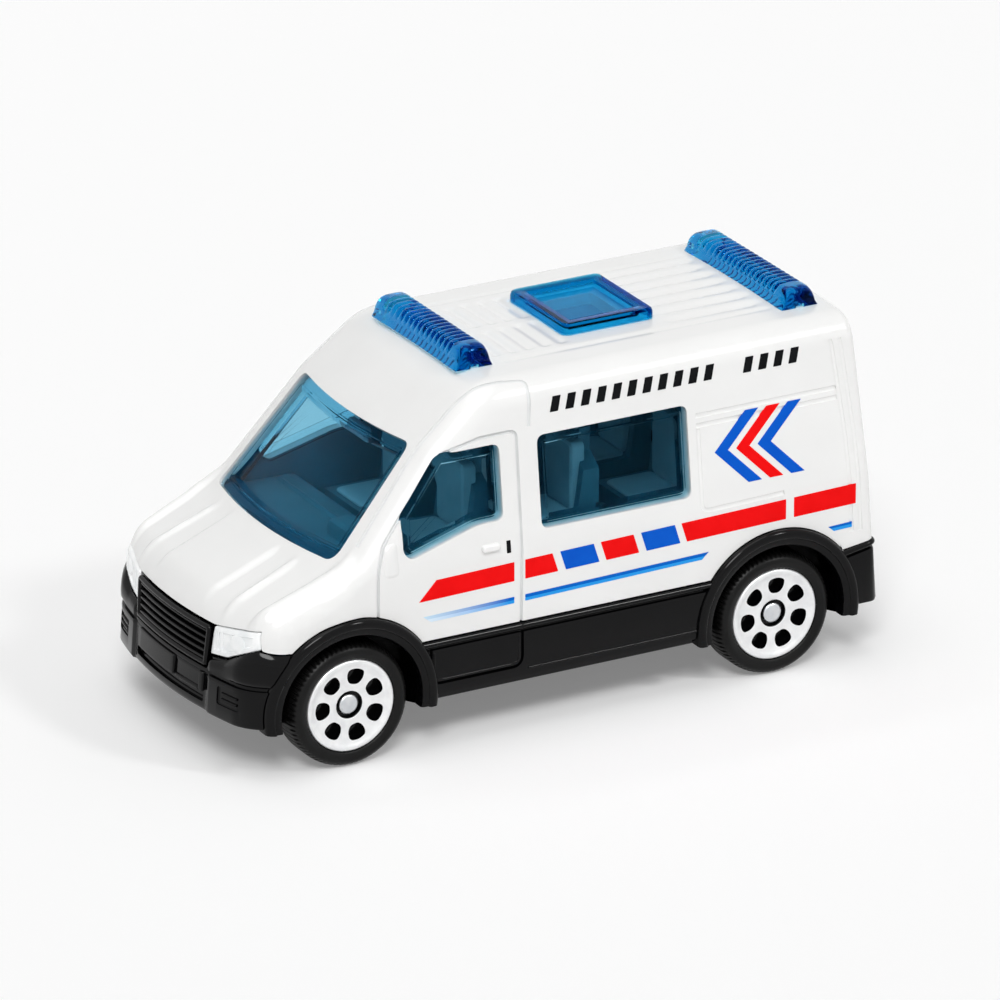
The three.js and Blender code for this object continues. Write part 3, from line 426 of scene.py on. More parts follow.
def drum(axle_x, hand, radius, inner):
    """A closed cylinder round an axle, from a distance inner to beyond one side of the van."""
    turn = full_turn(DRUM_SIDES)
    share = np.array([[0.0], [1.0], [1.0], [0.0]]) * radius
    y = hand * np.array([[inner], [inner], [REACH], [REACH]])
    return points_of(axle_x + share * np.cos(turn), y, AXLE_Z + share * np.sin(turn)), False, True, 0


def tube(path, rise, reach, closed=False, number=0, normals=None):
    """A closed tube along points: an ellipse, with half-height rise along the normal and half-width reach."""
    if closed:
        run = np.roll(path, -1, 0) - np.roll(path, 1, 0)
    else:
        run = np.gradient(path, axis=0)
    run = run / np.linalg.norm(run, axis=1, keepdims=True)
    up = outward(path) if normals is None else normals
    across = np.cross(run, up)
    across = across / np.linalg.norm(across, axis=1, keepdims=True)
    turn = full_turn(TUBE_SIDES)[:, None, None]
    grid = path + rise * np.sin(turn) * up + reach * np.cos(turn) * across
    if closed:
        return grid, True, True, number
    return closed_ends(grid, number)


def line_tube(points, width=0.36, depth=0.17, radius=0.8, number=0, level=0.02):
    """A thin tube along points on the form: a line to engrave, or a bead to keep."""
    path = rounded(points, radius, False, 0.0, 0.45)
    return tube(laid(path, level), depth, width / 2, False, number)


def both_sides(make):
    """The grids that make gives for the left side and for the right side."""
    return [*make(1), *make(-1)]


# Materials
def linear(code):
    """An sRGB hex colour as linear red, green, blue and alpha."""
    channels = [int(code[i : i + 2], 16) / 255 for i in (1, 3, 5)]
    return [c / 12.92 if c <= 0.04045 else ((c + 0.055) / 1.055) ** 2.4 for c in channels] + [1.0]


def add(tree, kind, settings=None, links=None):
    """Adds a node, sets its properties and sockets by name, and links sockets to outputs."""
    node = tree.nodes.new(kind)
    for name, value in (settings or {}).items():
        if hasattr(node, str(name)):
            setattr(node, name, value)
        else:
            node.inputs[name].default_value = value
    for name, output in (links or {}).items():
        tree.links.new(output, node.inputs[name])
    return node


def blank_material(name, settings):
    """A material with one surface shader: its node tree, that shader and Object coordinates."""
    material = bpy.data.materials.new(name)
    material.use_nodes = True
    tree = material.node_tree
    tree.nodes.clear()
    shader = add(tree, "ShaderNodeBsdfPrincipled", settings)
    add(tree, "ShaderNodeOutputMaterial", None, {"Surface": shader.outputs["BSDF"]})
    place = add(tree, "ShaderNodeTexCoord").outputs["Object"]
    return material, tree, shader, place


def per_metre(size):
    """Texture scale that gives features of that size in millimetres."""
    return 1 / (size * MM)


def waves(tree, shader, place, size, detail, height):
    """Noise with features of that size that gives the shader a relief of that height, in millimetres."""
    settings = {"Scale": per_metre(size), "Detail": detail}
    noise = add(tree, "ShaderNodeTexNoise", settings, {"Vector": place}).outputs["Fac"]
    bump = add(tree, "ShaderNodeBump", {"Strength": 1.0, "Distance": height * MM}, {"Height": noise})
    tree.links.new(bump.outputs["Normal"], shader.inputs["Normal"])
    return noise


def grained(name, settings, dark, light, patch, grain, bump, rough):
    """A surface with two near colours in soft patches, fine grain in relief and roughness that follows it.

    The patches, the grain and the height of its bump are in millimetres.
    """
    material, tree, shader, place = blank_material(name, settings)
    cloud = add(tree, "ShaderNodeTexNoise", {"Scale": per_metre(patch), "Detail": 3.0}, {"Vector": place})
    ramp = add(tree, "ShaderNodeValToRGB", None, {"Fac": cloud.outputs["Fac"]})
    for element, position, code in zip(ramp.color_ramp.elements, (0.35, 0.65), (dark, light)):
        element.position = position
        element.color = linear(code)
    tree.links.new(ramp.outputs["Color"], shader.inputs["Base Color"])
    fine = waves(tree, shader, place, grain, 2.0, bump)
    spread = add(tree, "ShaderNodeMapRange", {"To Min": rough[0], "To Max": rough[1]}, {"Value": fine})
    tree.links.new(spread.outputs["Result"], shader.inputs["Roughness"])
    return material


def tinted_acrylic(name, dye, density, ior, shine):
    """Moulded acrylic dyed right through: clear and glossy, pale where thin and deep blue where thick.

    The dye and its density per metre give the depth of colour, and the shine tints the reflections. A low
    IOR keeps the white room's reflection off the flat tops.
    """
    settings = {"Base Color": linear("#f4fafc"), "Transmission Weight": 1.0, "Roughness": 0.015}
    settings |= {"IOR": ior, "Specular Tint": linear(shine)}
    material, tree, shader, place = blank_material(name, settings)
    waves(tree, shader, place, 3.5, 1.0, 0.0012)
    tint = add(tree, "ShaderNodeVolumeAbsorption", {"Color": linear(dye), "Density": density})
    tree.links.new(tint.outputs["Volume"], tree.nodes["Material Output"].inputs["Volume"])
    return material


def printed_ink(name, dark, light):
    """Pad-printed ink on enamel: flat strong colour with a slight gloss and a trace of uneven cover."""
    return grained(name, {"Specular IOR Level": 0.06}, dark, light, 2.5, 0.25, 0.002, (0.28, 0.36))


def faded_ink(name, code, tip, start=6.0, end=15.5):
    """Pad-printed blue that fades along the van's length, from start to end, to a pale tip."""
    material, tree, shader, place = blank_material(name, {"Roughness": 0.3, "Specular IOR Level": 0.06})
    parts = add(tree, "ShaderNodeSeparateXYZ", None, {"Vector": place})
    span = {"From Min": start * MM, "From Max": end * MM}
    share = add(tree, "ShaderNodeMapRange", span, {"Value": parts.outputs["X"]})
    ramp = add(tree, "ShaderNodeValToRGB", None, {"Fac": share.outputs["Result"]})
    ramp.color_ramp.elements[0].color = linear(code)
    ramp.color_ramp.elements[1].color = linear(tip)
    tree.links.new(ramp.outputs["Color"], shader.inputs["Base Color"])
    return material


# Stove enamel sprayed on zinc: bright white, wet gloss, faint orange peel about a millimetre across
ENAMEL_GLOSS = {"IOR": 1.5, "Coat Weight": 0.2, "Coat Roughness": 0.14}
PAINT = grained("white_enamel", ENAMEL_GLOSS, "#ebebea", "#eeeeed", 9.0, 1.1, 0.003, (0.2, 0.27))
# Enamel in the narrow seams: thinner and duller, and greyer as painted shade, so that the lines read as soft
# grey
SEAM_GLOSS = {"Specular IOR Level": 0.2}
SEAM_SHADE = grained("seam_painted_shade", SEAM_GLOSS, "#dfe0e0", "#e6e7e7", 4.0, 0.5, 0.002, (0.5, 0.6))
# Inside of the casting, seen past the blue panes: dull and slightly rough as cast, painted dark blue as the
# shade inside and the blue light of the panes
ZINC_GLOSS = {"Specular IOR Level": 0.05}
INSIDE_BLUE_SHADE = grained("inside_painted_blue_shade", ZINC_GLOSS, "#3a7a92", "#40829a", 5.0, 0.8, 0.001, (0.55, 0.7))
# Moulded black ABS: near black, satin, with soft highlights and a trace of mould grain
DARK_GLOSS = {"Specular IOR Level": 0.16}
BLACK = grained("black_abs", DARK_GLOSS, "#030304", "#060607", 6.0, 0.35, 0.002, (0.08, 0.12))
# Moulded blue-grey ABS of the cushions: matt, plain, a little mottled
GREY = grained("grey_abs", {"IOR": 1.5}, "#80a3b1", "#8cafbc", 4.0, 0.4, 0.004, (0.45, 0.6))
# Moulded dark blue-grey ABS of the tub and the dashboard: matt and plain
DARK_GREY = grained("dark_grey_abs", {"IOR": 1.5}, "#2f6072", "#366879", 4.0, 0.4, 0.004, (0.45, 0.6))
# Moulded tyre rubber: black, dull, dusty grey on the high spots
RUBBER = grained("tyre_rubber", DARK_GLOSS, "#0b0b0b", "#111111", 3.0, 0.3, 0.006, (0.3, 0.42))
# Vacuum-plated plastic: bright silver with a fine speckle that breaks up its reflections
SILVER = grained("plated_silver", {"Metallic": 0.75}, "#e6e7e8", "#f2f3f3", 1.2, 0.22, 0.008, (0.3, 0.45))
# Drawn steel wire and screws: grey metal with a soft shine
STEEL = grained("drawn_steel", {"Metallic": 1.0}, "#c9ccd0", "#d6d8da", 1.0, 0.2, 0.004, (0.25, 0.36))
# Bright plating of the lamp inserts: mirror-like with soft waves
LAMP_GLOSS = {"Metallic": 0.35, "Coat Weight": 0.5, "Coat Roughness": 0.03}
LAMP = grained("lamp_plating", LAMP_GLOSS, "#eceff0", "#fafbfb", 1.6, 0.8, 0.02, (0.1, 0.18))
GLAZING = tinted_acrylic("blue_acrylic_glazing", "#06cbe4", 580.0, 1.15, "#3d9cc4")
HATCH = tinted_acrylic("blue_acrylic_hatch", "#00e0f2", 4200.0, 1.12, "#2a7cab")
BEACON = tinted_acrylic("deep_blue_acrylic", "#00dff3", 1150.0, 1.34, "#2f86c4")
RED_INK = printed_ink("red_ink", "#ef0709", "#f40b0e")
BLUE_INK = printed_ink("blue_ink", "#0254c6", "#055bcc")
DARK_INK = printed_ink("dark_ink", "#0c0d0f", "#121315")
THIN_BLUE = faded_ink("thin_blue_ink", "#0563c8", "#c9e4f5")
PALE_BLUE = faded_ink("pale_blue_ink", "#2a9bea", "#e4f2fa")

# Windows, in side view (x, z) and in front or rear view (y, z)
WINDOW_CORNER = 0.9
SIDE_WINDOW = rectangle(-14.3, 2.3, 20.6, 29.9)
DOOR_WINDOW = [(6.4, 22.3), (9.2, 22.3), (16.6, 20.2), (17.4, 21.0), (17.4, 24.5), (13.0, 29.9), (6.4, 29.9)]
WINDSCREEN = [(-11.8, 20.25), (11.8, 20.25), (10.8, 30.35), (-10.8, 30.35)]
REAR_WINDOW = rectangle(1.3, 11.2, 21.0, 29.6)
REAR_WINDOWS = [REAR_WINDOW, mirrored(REAR_WINDOW)]

# Front end, seen from ahead (y, z)
LAMP_OUTLINE = [(7.4, 11.2), (10.1, 11.6), (13.8, 13.4), (13.5, 15.3), (7.75, 14.4)]
FRONT_CUT_HALF = [(36.0, 2.0), (36.0, 12.9), (15.3, 12.9), (13.8, 13.4), (13.5, 15.3), (7.75, 14.4)]

# Casting
SKIN_COLUMNS = 141
SKIN_ROWS = 41


def height_at(x):
    """Height of the roof, brow, screen or hood line over a place along the van."""
    brow = SCREEN_TOP - (x - SCREEN_TOP_X) * math.tan(math.radians(BROW_ANGLE))
    screen = COWL_HEIGHT - (x - COWL_X) * math.tan(math.radians(SCREEN_ANGLE))
    hood = COWL_HEIGHT - (x - COWL_X) * math.tan(math.radians(HOOD_ANGLE))
    return np.minimum(ROOF_HEIGHT, np.minimum(brow, np.maximum(screen, hood)))


def soft_relief(points):
    """Creases of the hood, which run from the screen to the nose, and soft ribs sunk in the roof.

    Ribs run across the van ahead of the hatch and along it behind, between two long lines.
    """
    x, y = points[..., 0], np.abs(points[..., 1])
    hood = between(x, 24.6, 26.4, 32.6, 34.0)
    fender = between(x, 21.6, 23.4, 31.4, 33.2)
    middle_step = 0.28 * (1 - smooth(y, 4.7, 5.3))
    crease = 0.28 * ridge(y, 8.4 + 0.06 * (x - 30), 0.42)
    shoulder = 12.35 - 0.08 * (x - 31)
    fender_step = 0.45 * smooth(y, shoulder - 0.5, shoulder + 0.1)
    fender_step = fender_step - 0.3 * smooth(y, shoulder + 0.3, shoulder + 1.4)
    front_hood = hood * (middle_step + crease - 0.14) + fender * fender_step
    roof = smooth(points[..., 2], ROOF_HEIGHT - 1.5, ROOF_HEIGHT - 1.0)
    across = sum(ridge(x, middle, 0.5) for middle in (2.5, 0.7, -1.1, -2.9, -4.7))
    across = across * between(y, 0.5, 1.0, 6.4, 7.0)
    along = sum(ridge(y, middle, 0.55) for middle in (0.0, 2.2, 4.4, 6.6))
    along = along * between(x, -26.8, -26.0, -17.0, -16.2)
    edge = ridge(y, 8.3, 0.3) * between(x, -27.2, -26.6, 2.4, 3.0)
    return front_hood - roof * (0.2 * across + 0.2 * along + 0.1 * edge)


def core_of(x, y):
    """Nearest place in plan that lies well inside the van."""
    core_x = np.clip(x, TAIL_X + CORE, NOSE_X - CORE)
    return core_x, np.clip(y, CORE - HALF_WIDTH, HALF_WIDTH - CORE)


def skin_faces(level, x, y, share, relief=None):
    """Left, right, roof, front and rear grids of the form at a level, from the sill line up.

    Each point of a gridded box slides along a ray towards a core inside the van until it meets the surface.
    """
    wide = HALF_WIDTH + MARGIN
    boxes = [(x[:, None], hand * wide, share) for hand in (1, -1)]
    boxes.append((x[:, None], y * wide, 1.0))
    boxes += [(end_x, y[:, None] * wide, share) for end_x in (NOSE_X + MARGIN, TAIL_X - MARGIN)]
    faces = []
    for box_x, box_y, box_share in boxes:
        box_z = SILL_TOP + (height_at(box_x) + MARGIN - SILL_TOP) * box_share
        end = points_of(box_x, box_y, box_z)
        core_x, core_y = core_of(end[..., 0], end[..., 1])
        start = points_of(core_x, core_y, np.clip(end[..., 2], SILL_TOP, height_at(core_x) - CORE))
        found = meet(start, end, level)
        if relief is not None:
            found = meet(start, end, level + relief(found))
        faces.append(found)
    return faces


def body_shell():
    """The white casting: outer and inner skin joined by a rim at the sill line, then cut and engraved."""
    runs = [np.linspace(TAIL_X - MARGIN, TAIL_X + CORE, 22), np.arange(TAIL_X + CORE, -6.0, 0.75)]
    runs += [np.arange(-6.0, 4.0, 0.2), np.arange(4.0, 20.5, 0.75), np.arange(20.5, NOSE_X - CORE, 0.4)]
    runs.append(np.linspace(NOSE_X - CORE, NOSE_X + MARGIN, 24))
    x = np.unique(np.concatenate(runs).round(4))
    even = np.linspace(-1, 1, SKIN_COLUMNS)
    y = np.sin(even * np.pi / 2) * 0.35 + even * 0.65
    even = np.linspace(0, 1, SKIN_ROWS)
    share = np.sin(even * np.pi / 2) * 0.5 + even * 0.5
    outer = skin_faces(0.0, x, y, share, soft_relief)
    inner = skin_faces(-WALL, x, y, share[::2])
    # The inner skin takes material 1, the painted dark blue shade of the inside
    grids = [(grid, False, False, 0) for grid in outer] + [(grid, False, False, 1) for grid in inner]
    for side in (0, 1, 3, 4):
        grids.append((np.stack([outer[side][:, 0], inner[side][:, 0]]), False, False, 0))

    openings = []
    for outline in (SIDE_WINDOW, DOOR_WINDOW):
        openings.append(prism(outline, WINDOW_CORNER, flat_side, 8, REACH))
        openings.append(prism(outline, WINDOW_CORNER, flat_side, -REACH, -8))
    openings += [drum(axle_x, hand, ARCH_OUTER + 0.12, 9.6) for axle_x, hand in WHEEL_PLACES]
    openings.append(prism(rectangle(-13.3, -7.7, -3.2, 3.2), 0.6, in_plan, 30, 40))
    tail_rise = [(-40, 11), (-29.4, 11), (-29.4, 11.62), (-40, 13.05)]
    openings.append(prism(tail_rise, 0.02, flat_side, -REACH, REACH))

    ends = [prism(WINDSCREEN, WINDOW_CORNER, off_screen, -4.0, 3.0)]
    front_cut = FRONT_CUT_HALF + mirrored(FRONT_CUT_HALF)
    ends.append(prism(front_cut, 0.02, flat_front, BUMPER_REAR_X - SEAM, 45))
    ends += [prism(outline, WINDOW_CORNER, flat_front, -45, -30) for outline in REAR_WINDOWS]
    cuts = [openings, ends, engraved_lines()]
    made("painted_casting", grids, [PAINT, INSIDE_BLUE_SHADE, SEAM_SHADE], ["body_shell"], cuts=cuts)


def engraved_lines():
    """Door seams and panel lines of the casting, as tubes to cut away."""
    door = [(4.7, 10.9), (4.5, 31.0), (13.5, 30.9), (18.0, 24.9), (19.7, 22.4), (20.3, 19.0), (20.3, 13.0)]
    panels = [[(-15.2, 27.75), (-31.0, 27.75)], [(-15.2, 28.75), (-31.0, 28.75)]]
    panels.append([(-15.4, 27.4), (-15.4, 19.0), (-24.6, 19.2)])
    panels += [[(-30.6 - gap, 34.2), (-31.7 - gap, 24.0), (-32.3 - gap, 13.6)] for gap in (0.0, 1.0)]

    def side_lines(hand):
        # Material 2 on the door seam and the cab panel line is the painted seam shade
        lines = [line_tube(beside_van(door, hand), 0.36, 0.3, 0.8, 2)]
        lines += [line_tube(beside_van(path, hand), 0.5, 0.16) for path in panels]
        cab_panel = [(3.1, hand * 14.2, 31.0), (2.7, hand * 12.4, 35.1), (7.6, hand * 11.6, 35.0)]
        cab_panel += [(10.0, hand * 11.5, 33.4), (15.6, hand * 12.2, 29.4), (21.6, hand * 13.3, 22.0)]
        lines.append(line_tube(cab_panel, 0.4, 0.2, 0.8, 2))
        return lines

    grids = both_sides(side_lines)
    # The rear door lines also cut walls in material 2, the painted seam shade
    doors = [[(-36, 0, 34.2), (-36, 0, 12.9)]]
    for hand in (1, -1):
        edge = [(-36, hand * 1.0, 33.4), (-36, hand * 12.2, 33.4), (-36, hand * 12.9, 14.0)]
        doors.append(edge + [(-36, hand * 1.0, 14.0)])
    return grids + [line_tube(path, 0.45, 0.28, 0.8, 2) for path in doors]


def door_handles():
    """Raised pull handles of the doors and the low pads ahead of their windows, parts of the casting."""
    lift = [(0, -0.1), (0, 0.22), (0.08, 0.34), (0.2, 0.4)]
    pad = [(0, -0.1), (0, 0.0), (0.2, 0.1), (0.45, 0.13)]
    pad_outline = [(17.95, 18.9), (19.6, 18.9), (19.4, 21.8), (18.1, 22.4)]

    def handles(hand):
        pull = plate(rectangle(7.0, 9.0, 19.5, 20.25), 0.35, lift, on_side(hand), spacing=0.4)
        return [pull, plate(pad_outline, 0.6, pad, on_side(hand), spacing=0.4)]

    rear = plate(rectangle(-2.6, -0.5, 18.4, 19.1), 0.35, lift, on_rear, spacing=0.4)
    made("door_handles", [*both_sides(handles), rear], [PAINT])


# Glazing: panes by rows of (inset, level), with two beads along the edge of the front
PANE_FRONT = [
    (-0.25, -0.3), (0.3, -0.25), (0.55, -0.25), (0.62, -0.38), (0.72, -0.38),
    (0.8, -0.25), (0.95, -0.27), (1.08, -0.5), (1.2, -0.66), (1.3, -0.66),
]
SIDE_PANE = [(1.3, -1.5), (-0.25, -1.5), *PANE_FRONT]
SCREEN_PANE = [(1.3, -1.6), (1.12, -1.6), (1.0, -2.1), (-0.25, -2.1), *PANE_FRONT]


def window_unit():
    """The panes: each a clear blue plate with a thick, double-beaded border set into the casting."""
    grids = []
    for outline in (SIDE_WINDOW, DOOR_WINDOW):
        grids += [plate(outline, WINDOW_CORNER, SIDE_PANE, beside(hand)) for hand in (1, -1)]
    grids.append(plate(WINDSCREEN, WINDOW_CORNER, SCREEN_PANE, off_screen))
    grids += [plate(outline, WINDOW_CORNER, SIDE_PANE, on_rear) for outline in REAR_WINDOWS]
    made("window_panes", grids, [GLAZING], ["window_unit"])


def light_bar(name, node, drop):
    """A light bar: a low domed section carried across the roof, fluted on top between smooth rounded ends.

    A narrow skirt runs round its foot, and each end has a small notch there.
    """
    low, high = node_box(node)
    middle, half = (low[0] + high[0]) / 2, high[1]
    depth, top = (high[0] - low[0]) / 2, high[2] - drop
    flute_pitch, flute_depth, smooth_end, end_round, bulge = 0.86, 0.24, 1.7, 1.1, 0.5
    ends = end_round * np.array([0, 0.05, 0.15, 0.3, 0.5, 0.75, 1.0])
    inner = np.linspace(-half + smooth_end, half - smooth_end, 300)
    y = np.concatenate([-half + ends, inner, half - ends[::-1]])
    inward = half - np.abs(y)
    shrink = 0.55 + 0.45 * np.sqrt(1 - (1 - np.clip(inward / end_round, 0, 1)) ** 2)
    fluted = smooth(inward, smooth_end - 0.1, smooth_end + 0.2)
    ripple = fluted * flute_depth * (1 - np.abs(np.cos(np.pi * y / flute_pitch)) ** 0.7)
    turn = np.linspace(0, np.pi, 41)
    across = np.sign(np.cos(turn)) * np.abs(np.cos(turn)) ** bulge
    rise = (np.abs(np.sin(turn)) ** bulge)[:, None]
    crest = smooth(rise, 0.4, 0.8)
    skirt = 1 - smooth(rise, 0.16, 0.24)
    lean = (0.76 + 0.15 * (1 - rise)) * (1 - skirt) + skirt
    foot = ROOF_HEIGHT - ROOF_CROWN * (y / HALF_WIDTH) ** 2 + 0.04
    width = (depth - ripple * crest) * (0.84 + 0.16 * shrink)
    x = middle + across[:, None] * width * lean
    z = foot + rise * ((top - foot) * shrink - ripple * crest)
    grid = points_of(np.concatenate([x, x[-1:], x[:1]]), y, np.concatenate([z, [foot, foot]]))
    outline = rectangle(middle - 0.45, middle + 0.45, ROOF_HEIGHT - 1, ROOF_HEIGHT + 0.2)
    notches = [prism(outline, 0.1, flat_side, hand * (half - 0.4), hand * (half + 1)) for hand in (1, -1)]
    made(name, [closed_ends(grid)], [BEACON], [node], 40, cuts=[notches])


def roof_hatch():
    """The hatch: a hollow square frame with rounded edges round a sunk pane, all one blue moulding."""
    low, high = node_box("roof_hatch")
    top, foot, wider = high[2], ROOF_HEIGHT - 0.1, 0.3
    profile = [
        (1.85, top - 1.08), (1.3, top - 1.08), (1.15, top - 0.55), (0.6, top - 0.5), (0.5, top - 0.6),
        (0.5, foot), (0.0, foot), (0.0, top - 0.42), (0.1, top - 0.15), (0.3, top),
        (1.2, top - 0.02), (1.4, top - 0.12), (1.62, top - 0.6), (1.85, top - 0.72),
    ]
    outline = rectangle(low[0] - wider, high[0] + wider, low[1] - wider, high[1] + wider)
    made("hatch_frame", [plate(outline, 0.9, profile, in_plan)], [HATCH], ["roof_hatch"])


# Black lower body, with the arches by rows of (radius, level or distance across)
SILL_Y = 15.5
ARCH_STEPS = 90
ARCH_FOOT = FLOOR_BOTTOM + 0.3
FLARE = [
    (ARCH_OUTER, -1.0), (ARCH_OUTER, 0.2), (ARCH_OUTER - 0.1, 0.44), (ARCH_OUTER - 0.3, 0.58),
    (ARCH_OUTER - 0.75, 0.6), (ARCH_OUTER - 0.9, 0.5), (ARCH_OUTER - 0.98, 0.32),
    (ARCH_INNER + 0.3, 0.28), (ARCH_INNER + 0.1, 0.2), (ARCH_INNER, 0.0), (ARCH_INNER, -1.0),
]
WELL = [
    (1.6, WHEEL_BACK - 0.3), (ARCH_INNER, WHEEL_BACK - 0.3), (ARCH_INNER, 14.3),
    (ARCH_INNER + 0.35, 14.3), (ARCH_INNER + 0.35, WHEEL_BACK - 1.3), (1.6, WHEEL_BACK - 1.3),
]


def plan_round(start_x, end_x, spacing):
    """Plan of a box round one end of the van, from its left side to its right, at about the spacing."""
    wide = HALF_WIDTH + MARGIN
    corners = np.array([(start_x, wide), (end_x, wide), (end_x, -wide), (start_x, -wide)])
    runs = []
    for first, last in zip(corners[:-1], corners[1:]):
        count = max(2, int(np.linalg.norm(last - first) / spacing))
        runs.append(first + (last - first) * np.linspace(0, 1, count, endpoint=False)[:, None])
    return np.concatenate([*runs, corners[-1:]])


def band(plan, profile):
    """A closed profile of (height, level) rows carried round the van: rows meet the form along plan rays."""
    core = core_of(plan[:, 0], plan[:, 1])
    rows = [meet(points_of(*core, height), points_of(*plan.T, height), level) for height, level in profile]
    return closed_ends(np.stack(rows))


def arch(profile, place, axle_x):
    """A closed profile of (radius, level) rows turned over an axle, between two feet at the same height."""
    rows = []
    for radius, level in profile:
        foot = math.asin((ARCH_FOOT - AXLE_Z) / radius)
        turn = np.linspace(foot, math.pi - foot, ARCH_STEPS)
        rows.append(place(axle_x + radius * np.cos(turn), AXLE_Z + radius * np.sin(turn), level))
    return closed_ends(np.stack(rows))


def chassis_base():
    """The black base: lipped sills and rear bumper carried round the body, flares, arch wells and floor."""
    plan = plan_round(FRONT_AXLE_X, TAIL_X - MARGIN, 0.5)
    top = SILL_TOP - SEAM + np.clip((-29.4 - plan[:, 0]) * 0.135, 0, 0.9)
    profile = [
        (SILL_BOTTOM, -1.0), (SILL_BOTTOM, -0.25), (SILL_BOTTOM + 0.12, 0.0), (SILL_BOTTOM + 0.4, 0.1),
        (top - 1.1, 0.1), (top - 0.98, 0.04), (top - 0.94, -0.2), (top - 0.72, -0.2), (top - 0.66, 0.1),
        (top - 0.5, 0.26), (top - 0.35, CLADDING_PROUD), (top - 0.2, 0.26), (top - 0.05, 0.1),
        (top, -0.1), (top, -1.0),
    ]

    def panel_lines(hand):
        line = [(14.6, 10.6), (14.6, 7.0), (4.6, 7.0), (4.6, 11.3)]
        return [line_tube(beside_van(line, hand, SILL_Y), 0.34, 0.26, 1.1)]

    def panel_beads(hand):
        lines = [[(14.25, 10.2), (14.25, 7.32), (4.95, 7.32), (4.95, 10.2)], [(3.9, 6.6), (-15.0, 6.6)]]
        return [line_tube(beside_van(line, hand, SILL_Y), 0.24, 0.08, 0.9, level=0.1) for line in lines]

    wells = [drum(axle_x, hand, ARCH_INNER + 0.4, 9.0) for axle_x, hand in WHEEL_PLACES]
    cuts = [wells, both_sides(panel_lines)]
    made("black_base", [band(plan, profile)], [BLACK], ["chassis_base"], 40, cuts=cuts)
    extra = [arch(FLARE, on_side(hand), axle_x) for axle_x, hand in WHEEL_PLACES]
    for axle_x, hand in WHEEL_PLACES:
        extra.append(arch([(radius, hand * y) for radius, y in WELL], flat_side, axle_x))
    extra += floor_plates() + both_sides(panel_beads)
    made("flares_and_floor", extra, [BLACK], (), 40)


def floor_plates():
    """Floor of the base with notches for the wheels, and stiffening ribs underneath."""
    near, far = 9.2, 14.0
    rise = [(0.0, 6.2), (0.0, 4.85), (0.15, 4.65), (0.3, FLOOR_BOTTOM + 0.1)]
    side = rectangle(REAR_AXLE_X + 7.9, FRONT_AXLE_X - 7.9, near - 0.5, far)
    other_side = [(x, -y) for x, y in reversed(side)]
    grids = [plate(rectangle(-33.6, 33.2, -near, near), 1.2, rise, in_plan, spacing=4)]
    grids += [plate(outline, 0.3, rise, in_plan, spacing=4) for outline in (side, other_side)]
    ribs = [(0.0, 4.9), (0.0, 4.62), (0.1, FLOOR_BOTTOM)]
    for x in np.linspace(-12, 12, 5):
        grids.append(plate(rectangle(x - 0.4, x + 0.4, -8, 8), 0.3, ribs, in_plan, spacing=4))
    return grids


def front_bumper():
    """Front bumper: a rounded roll over a lower skirt carried round the nose, with recesses."""
    plan = plan_round(BUMPER_REAR_X, NOSE_X + MARGIN, 0.3)
    probe = band(plan, [(9.0, 0.2), (9.5, 0.2)])[0][0, 1:-1]
    out = np.abs(probe[:, 1])
    top = np.interp(out, [7.3, 7.5, 10.1, 13.8, 15.2], [9.7, 11.05, 11.45, 13.3, 12.82])
    corner = smooth(out, 7.45, 7.75)
    main = 0.12 + 0.24 * corner
    swell = main + 0.22 * smooth(out, 9.5, 12.5)
    dent = main - 0.3 * corner
    upper = np.maximum(top - 9.9, 0.0)
    profile = [
        (BUMPER_BOTTOM, -1.1), (BUMPER_BOTTOM, main - 0.5), (BUMPER_BOTTOM + 0.12, main - 0.2),
        (BUMPER_BOTTOM + 0.4, main - 0.04), (8.9, main - 0.04), (9.15, main), (9.28, main - 0.06),
        (9.34, dent), (np.minimum(9.62, top - 0.06), dent), (9.7 + upper * 0.04, main - 0.04),
        (9.72 + upper * 0.18, swell - 0.04), (9.73 + upper * 0.4, swell), (9.74 + upper * 0.65, swell - 0.03),
        (9.75 + upper * 0.85, swell - 0.14), (9.76 + upper * 0.97, swell - 0.38), (top, -0.02), (top, -1.1),
    ]
    sink = [(0.0, 2.5), (0.0, -0.35), (0.12, -0.45)]
    shallow = [(0.0, 2.5), (0.0, 0.16), (0.1, 0.1)]
    recess = rectangle(9.3, 12.4, 6.9, 8.7)
    recesses = [plate(rectangle(-6.9, 6.9, 6.2, 7.05), 0.3, sink, on_front)]
    recesses += [plate(outline, 0.3, shallow, on_front) for outline in (recess, mirrored(recess))]
    arches = [drum(FRONT_AXLE_X, hand, ARCH_OUTER + 0.1, 9.0) for hand in (1, -1)]
    nodes, cuts = ["front_bumper_grille"], [recesses, arches]
    made("front_bumper", [band(plan, profile)], [BLACK], nodes, 40, cuts=cuts)


